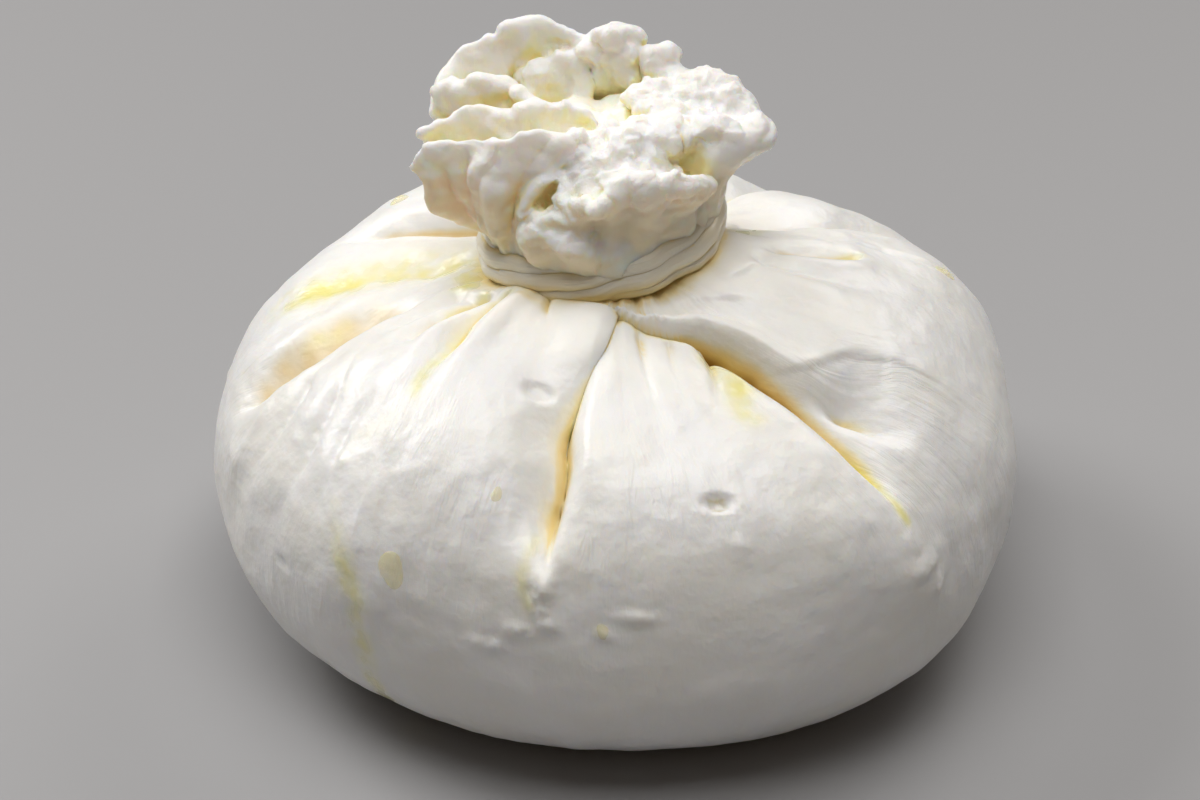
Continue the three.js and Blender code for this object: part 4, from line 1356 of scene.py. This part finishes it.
def obstacle(pieces):
    vertices, faces, count = [], [], 0
    for piece in pieces:
        vertices += [v.co / MM for v in piece.data.vertices]
        faces += [[i + count for i in face.vertices] for face in piece.data.polygons]
        count += len(piece.data.vertices)
    return BVHTree.FromPolygons(vertices, faces)


def cavity_of(piece, walls, lowest):
    spots = vertex_array(piece.data) / MM
    normals = vertex_array(piece.data, "normal")
    helper = np.where(np.abs(normals[:, 2:]) < 0.9, [[0, 0, 1]], [[1, 0, 0]])
    side = unit(np.cross(helper, normals))
    other = np.cross(normals, side)
    starts = [Vector(s) for s in spots + normals * CAVITY_START]
    blocked = np.zeros(len(spots))
    active = np.nonzero(spots[:, 2] > lowest)[0]
    for ray in cosine_rays(CAVITY_RAYS, 2):
        directions = ray[0] * side + ray[1] * other + ray[2] * normals
        for i in active:
            distance = walls.ray_cast(starts[i], Vector(directions[i]), CAVITY_REACH)[3]
            if distance is not None:
                blocked[i] += 1 - CAVITY_FAR * distance / CAVITY_REACH
    return blocked / CAVITY_RAYS


# %% Look into the folds
cheese = [pouch, tuft, collar]
walls = obstacle(cheese)
for piece in cheese:
    cavity = cavity_of(piece, walls, CAVITY_LOWEST.get(piece.name, -math.inf))
    put_attribute(piece.data, "cavity", cavity)
    print(piece.name, "cavity mean", cavity.mean().round(3), "deepest", cavity.max().round(2))

# %% [markdown]
# ## Oil
#
# The oil's tint is in the skin's mask, but a thick drop stands up from the skin and
# catches the window. Each is a thin lens: a disc of points laid on the skin a little
# under its surface, and the same disc again lifted in a dome.

# %% Oil drops
# (azimuth, skin, half width, half length, height)
OIL_DROPS = (
    (-31.1, 39.2, 1.5, 1.9, 0.5),
    (-2.6, 41.8, 0.7, 0.8, 0.25),
    (-18.6, 29.0, 0.6, 0.8, 0.25),
    (98, 27, 1.1, 1.4, 0.5),
    (196, 26, 1.3, 1.6, 0.6),
    (-128, 20, 1.0, 1.3, 0.5),
)
DROP_RINGS = 12
DROP_COLUMNS = 40
DROP_SINK = 0.25
DROP_EDGE_SINK = 0.04
DROP_ROUNDNESS = 0.7
DROP_WOBBLES = ((2, 0.12, 1.0), (3, 0.08, 2.1))      # waves round a drop, their height, their turn
SKIN_SEARCH = 6        # mm above and below the plain skin where the finished one is sought

pouch_walls = obstacle([pouch])


def skin_hit(azimuth, at_skin):
    """The finished skin's surface at a place on the plain skin, and the direction out."""
    flat_angle, flat_skin = np.array([math.radians(azimuth)]), np.array([at_skin])
    base = bare_skin(flat_angle, flat_skin)[0]
    out = skin_axes(flat_angle, flat_skin)[2][0]
    start = Vector(base + out * SKIN_SEARCH)
    hit = pouch_walls.ray_cast(start, Vector(-out), 2.0 * SKIN_SEARCH)[0]
    return (base if hit is None else np.array(hit)), out


def lens(azimuth, at_skin, half_wide, half_long, height, seed):
    radius = float(np.interp(at_skin, PROFILE_SKIN, PROFILE_RADIUS))
    top, low = [], []
    for ring in range(DROP_RINGS, 0, -1):
        share = ring / DROP_RINGS
        dome = height * (1 - share ** 2) ** DROP_ROUNDNESS - DROP_EDGE_SINK * share
        found = []
        for c in range(DROP_COLUMNS):
            spin = 2 * math.pi * c / DROP_COLUMNS
            wobble = sum((high * math.sin(waves_round * spin + turned_by * seed)
                          for waves_round, high, turned_by in DROP_WOBBLES), 1)
            across = share * wobble * half_wide * math.sin(spin)
            down = share * wobble * half_long * math.cos(spin)
            found.append(skin_hit(azimuth + math.degrees(across / radius), at_skin + down))
        top += [spot + out * dome for spot, out in found]
        low = [spot - out * DROP_SINK for spot, out in found] + low
    return np.array(low + top)


# %% Lay the drops
drop_meshes = [closed_tube("drop", lens(*drop, seed), DROP_COLUMNS)
               for seed, drop in enumerate(OIL_DROPS)]
drops_mesh = joined_mesh("oil_drops", drop_meshes, face_outward=True)
oil_drops = link(drops_mesh, "oil_drops", oil_material)
print("oil drops:", len(OIL_DROPS), "of", len(oil_drops.data.polygons), "faces in all")

# %% [markdown]
# ## Finish
#
# Two node groups are shared by the three curd materials. `curd colour` mixes the white of the curd
# with painted shade, a warmer tone in the depths and amber to dark gold along the creases and on
# the tuft's shaded sides, and with the yellow of the oil, and makes oiled spots glossier. `curd
# relief` adds up heights for the Bump node: soft dimples, a fine wet wrinkle and, where it is torn,
# grit. What differs between the materials is the grain: on the pouch it follows the strands down
# the skin, on the collar it runs along each strand, and the torn tuft has none.

# %% Node group tools
def new_group(name, inputs, outputs):
    group = bpy.data.node_groups.new(name, "ShaderNodeTree")
    for label, kind, value in inputs:
        socket = group.interface.new_socket(label, in_out="INPUT", socket_type="NodeSocket" + kind)
        socket.default_value = value
    for label, kind in outputs:
        group.interface.new_socket(label, in_out="OUTPUT", socket_type="NodeSocket" + kind)
    return group, group.nodes.new("NodeGroupInput").outputs, group.nodes.new("NodeGroupOutput")


def add_range(tree, value, low, high, to_low=0.0, to_high=1.0):
    return add(tree, "ShaderNodeMapRange", {
        "Value": value, "From Min": low, "From Max": high, "To Min": to_low, "To Max": to_high},
        interpolation_type="SMOOTHSTEP")


def add_blend(tree, share, a, b):
    return add(tree, "ShaderNodeMix", {"Factor": share, "A": a, "B": b}, 2, data_type="RGBA")


def add_noise(tree, where, scale, detail=2.0, roughness=0.5):
    return add(tree, "ShaderNodeTexNoise", {
        "Vector": where, "Scale": scale, "Detail": detail, "Roughness": roughness})


def attribute(tree, name, output="Fac"):
    """A named attribute of the mesh, read by a material."""
    return add(tree, "ShaderNodeAttribute", output=output, attribute_name=name)


# %% Colour group
MOTTLE_SCALE = 85.0       # all noise scales are in features per metre
GLOSS_SCALE = 260.0
GLOSS_CHANGE = 0.22
OILED_ROUGHNESS = 0.16

colour_group, given, gives = new_group("curd colour", [
    ("Place", "Vector", (0, 0, 0)),
    ("Curd", "Color", (0.92, 0.905, 0.865, 1)),
    # painted shade colours: warm in the cavities, amber and dark gold along the creases and on the
    # tuft's shaded sides
    ("Pale", "Color", (0.955, 0.95, 0.93, 1)),
    ("Cavity shade", "Color", (0.93, 0.78, 0.44, 1)),
    ("Amber shade", "Color", (0.80, 0.59, 0.21, 1)),
    ("Dark gold shade", "Color", (0.36, 0.19, 0.02, 1)),
    ("Oil colour", "Color", (0.92, 0.84, 0.26, 1)),
    ("Cavity", "Float", 0.0),
    ("Shade mask", "Float", 0.0),
    ("Oil", "Float", 0.0),
    ("Roughness", "Float", 0.42),
], [("Colour", "Color"), ("Roughness", "Float")])
node, calc, spread, blend, cloud = tools_for(
    colour_group, add, calculate, add_range, add_blend, add_noise)
mottle = cloud(given["Place"], MOTTLE_SCALE, 3.0)
colour = blend(spread(mottle, 0.35, 0.65), given["Curd"], given["Pale"])
# The cavity and crease masks paint shade into the colour; the oil mask is the oil's own tint.
# (mask, where it starts and is full, its greatest share, colour), painted in this order
for mask, low, high, most, tone in (
        ("Cavity", 0.12, 0.62, 0.95, "Cavity shade"), ("Shade mask", 0.1, 0.7, 0.9, "Amber shade"),
        ("Shade mask", 0.52, 0.92, 0.95, "Dark gold shade"), ("Oil", 0.03, 1.0, 0.85, "Oil colour")):
    colour = blend(spread(given[mask], low, high, 0.0, most), colour, given[tone])
centred = calc("SUBTRACT", cloud(given["Place"], GLOSS_SCALE), 0.5)
uneven = calc("MULTIPLY_ADD", centred, GLOSS_CHANGE, given["Roughness"])
wet = spread(given["Oil"], 0.1, 0.7)
oily = node("ShaderNodeMix", {"Factor": wet, "A": uneven, "B": OILED_ROUGHNESS},
            data_type="FLOAT")
feed(colour_group, gives, {"Colour": colour, "Roughness": oily})
print("group:", colour_group.name, "of", len(colour_group.nodes), "nodes")

# %% Relief group
DIMPLE_SCALE = 420.0
WRINKLE_SCALE = 1700.0
GRIT_SCALE = 900.0
GRAIN_PATCH_SCALE = 75.0

relief_group, given, gives = new_group("curd relief", [
    ("Place", "Vector", (0, 0, 0)),
    ("Dimple height", "Float", 0.25),
    ("Wrinkle height", "Float", 0.08),
    ("Grit height", "Float", 0.3),
    ("Torn", "Float", 0.0),
    ("Grain", "Float", 0.0),
    ("Grain height", "Float", 0.1),
], [("Height", "Float")])
calc, spread, cloud = tools_for(relief_group, calculate, add_range, add_noise)
place = given["Place"]
dimples = calc("MULTIPLY", cloud(place, DIMPLE_SCALE), given["Dimple height"])
wrinkles = calc("MULTIPLY", cloud(place, WRINKLE_SCALE, 3.0, 0.6), given["Wrinkle height"])
grit = calc("MULTIPLY", cloud(place, GRIT_SCALE, 4.0, 0.65), given["Torn"])
grit = calc("MULTIPLY", grit, given["Grit height"])
patches = spread(cloud(place, GRAIN_PATCH_SCALE, 1.0), 0.38, 0.62, 0.15)
grain = calc("MULTIPLY", calc("MULTIPLY", given["Grain"], given["Grain height"]), patches)
height = calc("ADD", calc("ADD", dimples, wrinkles), calc("ADD", grit, grain))
feed(relief_group, gives, {"Height": height})
print("group:", relief_group.name, "of", len(relief_group.nodes), "nodes")

# %% Curd finish
SKIN_DEPTHS = (1.0, 0.84, 0.66)   # how deep red, green and blue light reach
CURD_DEPTHS = (1.0, 0.76, 0.52)
BUMP_HEIGHT = 0.5 * MM
CURD_IOR = 1.42
WET_COAT = 0.2
WET_COAT_ROUGHNESS = 0.2


def curd_finish(material, roughness, grain=0.0, subsurface=0.6, light_reach=1.0 * MM,
                depths=SKIN_DEPTHS, colour=None, relief=None):
    tree = material.node_tree
    place = add(tree, "ShaderNodeTexCoord", output="Object")
    painted = add(tree, "ShaderNodeGroup", {
        "Place": place, "Cavity": attribute(tree, "cavity"), "Oil": attribute(tree, "oil"),
        "Shade mask": attribute(tree, "painted_shade"), "Roughness": roughness, **(colour or {})},
        None, node_tree=colour_group)
    raised = add(tree, "ShaderNodeGroup", {
        "Place": place, "Torn": attribute(tree, "torn"), "Grain": grain, **(relief or {})},
        node_tree=relief_group)
    bump = add(tree, "ShaderNodeBump", {
        "Height": raised, "Distance": BUMP_HEIGHT, "Strength": 1.0})
    feed(tree, tree.nodes["Principled BSDF"], {
        "Base Color": painted["Colour"], "Roughness": painted["Roughness"], "Normal": bump,
        "Subsurface Weight": subsurface, "Subsurface Radius": depths,
        "Subsurface Scale": light_reach, "IOR": CURD_IOR, "Coat Weight": WET_COAT,
        "Coat Roughness": WET_COAT_ROUGHNESS})
    print("finish:", material.name)


# %% Pouch and tuft materials
STRAND_GRAIN = (230.0, 14.0, 1.0)      # grain round the pouch and down each 100 mm of skin

node, calc, spread = tools_for(skin_material.node_tree, add, calculate, add_range)
strand_uv = node("ShaderNodeUVMap", uv_map="strands")
strands = node("ShaderNodeMapping", {"Vector": strand_uv, "Scale": STRAND_GRAIN})
skin_grain = node("ShaderNodeTexNoise", {
    "Vector": strands, "Scale": 1.0, "Detail": 3.0, "Roughness": 0.65, "Distortion": 0.6})
down_the_skin = node("ShaderNodeSeparateXYZ", {0: strand_uv}, "Y")
skin_grain = calc("MULTIPLY", skin_grain, spread(down_the_skin, 0.06, 0.32, 0.15))
curd_finish(skin_material, 0.40, skin_grain, relief={"Grain height": 0.5, "Dimple height": 0.5})
# The tuft's curd colours are paler and yellower than the skin's, and its cavity shade lighter:
# painted light, for light shining through the thin petals.
curd_finish(curd_material, 0.46, subsurface=1.0, light_reach=1.6 * MM, depths=CURD_DEPTHS,
            colour={"Curd": (0.96, 0.945, 0.885, 1), "Pale": (0.97, 0.96, 0.93, 1),
                    "Cavity shade": (0.985, 0.88, 0.55, 1)},
            relief={"Dimple height": 0.5, "Grit height": 0.35})

# %% Collar material
# The grain runs along the strand. Going once round a circle in the noise's third and
# fourth directions brings it back to its start, so the closed strand shows no seam.
GRAIN_LOOP = 9.0
GRAIN_ACROSS = 3.0

collar_nodes = collar_material.node_tree
node, calc = tools_for(collar_nodes, add, calculate)
along_it = attribute(collar_nodes, "along")
around_it = attribute(collar_nodes, "around", "Vector")
loop_cosine = node("ShaderNodeCombineXYZ", {
    2: calc("MULTIPLY", calc("COSINE", along_it), GRAIN_LOOP)})
loop_sine = calc("MULTIPLY", calc("SINE", along_it), GRAIN_LOOP)
lines = node("ShaderNodeVectorMath", {
    0: around_it, 1: (GRAIN_ACROSS,) * 3, 2: loop_cosine}, operation="MULTIPLY_ADD")
collar_grain = node("ShaderNodeTexNoise", {
    "Vector": lines, "W": loop_sine, "Scale": 1.0, "Detail": 3.0, "Roughness": 0.6},
    noise_dimensions="4D")
# The collar's colours are darker and warmer than the skin's: painted shade, for the shade it lies
# in under the tuft's overhang.
curd_finish(collar_material, 0.38, collar_grain, subsurface=0.4,
            colour={"Curd": (0.88, 0.79, 0.62, 1), "Pale": (0.94, 0.89, 0.78, 1)},
            relief={"Grain height": 0.6, "Dimple height": 0.3})
for piece, material in zip(cheese, (skin_material, curd_material, collar_material)):
    piece.data.materials.clear()
    piece.data.materials.append(material)

# %% Oil material
RIPPLE_SCALE = 500.0
RIPPLE_HEIGHT = 0.1 * MM
OIL_ALPHA = 0.26
OIL_IOR = 1.47

oil_nodes = oil_material.node_tree
node, spread, blend, cloud = tools_for(oil_nodes, add, add_range, add_blend, add_noise)
oil_depth = cloud(node("ShaderNodeTexCoord", output="Object"), RIPPLE_SCALE)
ripple = node("ShaderNodeBump", {
    "Height": oil_depth, "Distance": RIPPLE_HEIGHT, "Strength": 0.5})
feed(oil_nodes, oil_nodes.nodes["Principled BSDF"], {
    "Base Color": blend(oil_depth, (0.90, 0.78, 0.20, 1), (0.95, 0.88, 0.42, 1)),
    "Roughness": spread(oil_depth, 0.2, 0.8, 0.05, 0.12),
    "Normal": ripple, "Alpha": OIL_ALPHA, "IOR": OIL_IOR})
print("finish:", oil_material.name)

# %% [markdown]
# ## Floor, light and camera
#
# A pale floor, a soft window behind and to the left, a broad ceiling light over the front
# edge, a weaker window behind and to the right, a trace of warm light from the front, and
# a camera that looks down at the cheese as a guest at the table does. All of these are in
# metres.

# %% Floor
FLOOR_HALF = 1.2

corners = [(x * FLOOR_HALF, y * FLOOR_HALF, 0) for x, y in ((-1, -1), (1, -1), (1, 1), (-1, 1))]
floor_mesh = bpy.data.meshes.new("floor")
floor_mesh.from_pydata(corners, [], [(0, 1, 2, 3)])
floor_material = new_material("pale floor")
feed(floor_material.node_tree, floor_material.node_tree.nodes["Principled BSDF"], {
    "Base Color": (0.36, 0.36, 0.37, 1), "Roughness": 0.55})
floor = link(floor_mesh, "floor", floor_material)
floor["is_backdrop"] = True
print("floor:", 2 * FLOOR_HALF, "m wide")

# %% Lights
LIGHT_TARGET = Vector((0, 0, 0.03))
# place, size, power in watts, colour
LIGHTS = {
    "window": ((-0.48, 0.29, 0.51), (0.36, 0.36), 2.8, (1.0, 0.985, 0.96)),
    "ceiling": ((0.00, -0.09, 0.73), (0.54, 0.54), 3.75, (1.0, 0.99, 0.975)),
    "back window": ((0.38, 0.45, 0.49), (0.36, 0.36), 1.25, (1.0, 0.97, 0.93)),
    "front fill": ((0.10, -0.70, 0.48), (0.6, 0.4), 0.1, (1.0, 0.74, 0.48)),
}
ROOM_COLOUR = (1.0, 0.78, 0.55, 1)
ROOM_STRENGTH = 0.05

for name, (place, size, power, colour) in LIGHTS.items():
    lamp = bpy.data.lights.new(name, "AREA")
    lamp.shape = "RECTANGLE"
    lamp.size, lamp.size_y = size
    lamp.energy = power
    lamp.color = colour
    holder = bpy.data.objects.new(name, lamp)
    holder.location = place
    holder.rotation_euler = (LIGHT_TARGET - Vector(place)).to_track_quat("-Z", "Y").to_euler()
    bpy.context.scene.collection.objects.link(holder)
room = bpy.data.worlds.new("room")
room.use_nodes = True
feed(room.node_tree, room.node_tree.nodes["Background"], {
    "Color": ROOM_COLOUR, "Strength": ROOM_STRENGTH})
bpy.context.scene.world = room
bpy.context.scene.view_settings.view_transform = "Standard"
print(len(LIGHTS), "lights:", ", ".join(LIGHTS))

# %% Camera
CAMERA_PLACE = (-0.0021, -0.2483, 0.1690)
CAMERA_DROP = math.radians(30.22)
CAMERA_ROLL = math.radians(-0.73)
CAMERA_LENS = 72
CAMERA_SENSOR = 36

camera_data = bpy.data.cameras.new("camera")
camera_data.lens = CAMERA_LENS
camera_data.sensor_width = CAMERA_SENSOR
camera = bpy.data.objects.new("camera", camera_data)
tilt = Matrix.Rotation(math.pi / 2 - CAMERA_DROP, 4, "X")
camera.matrix_world = Matrix.Translation(CAMERA_PLACE) @ tilt @ Matrix.Rotation(CAMERA_ROLL, 4, "Z")
bpy.context.scene.collection.objects.link(camera)
bpy.context.scene.camera = camera
print("camera:", CAMERA_LENS, "mm lens at", CAMERA_PLACE)

# %% [markdown]
# ## Onto the body
#
# Every piece rides on the cheese's one body. The three curd pieces together stand for the measured
# solid, which stays hidden. The dressed cheese's box is printed.

# %% Onto the body
for piece in cheese:
    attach(piece, "root")
    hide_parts("burrata")
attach(oil_drops, "root")

low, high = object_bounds()
print("visual:", [round(x / MM, 1) for x in high - low], "mm")
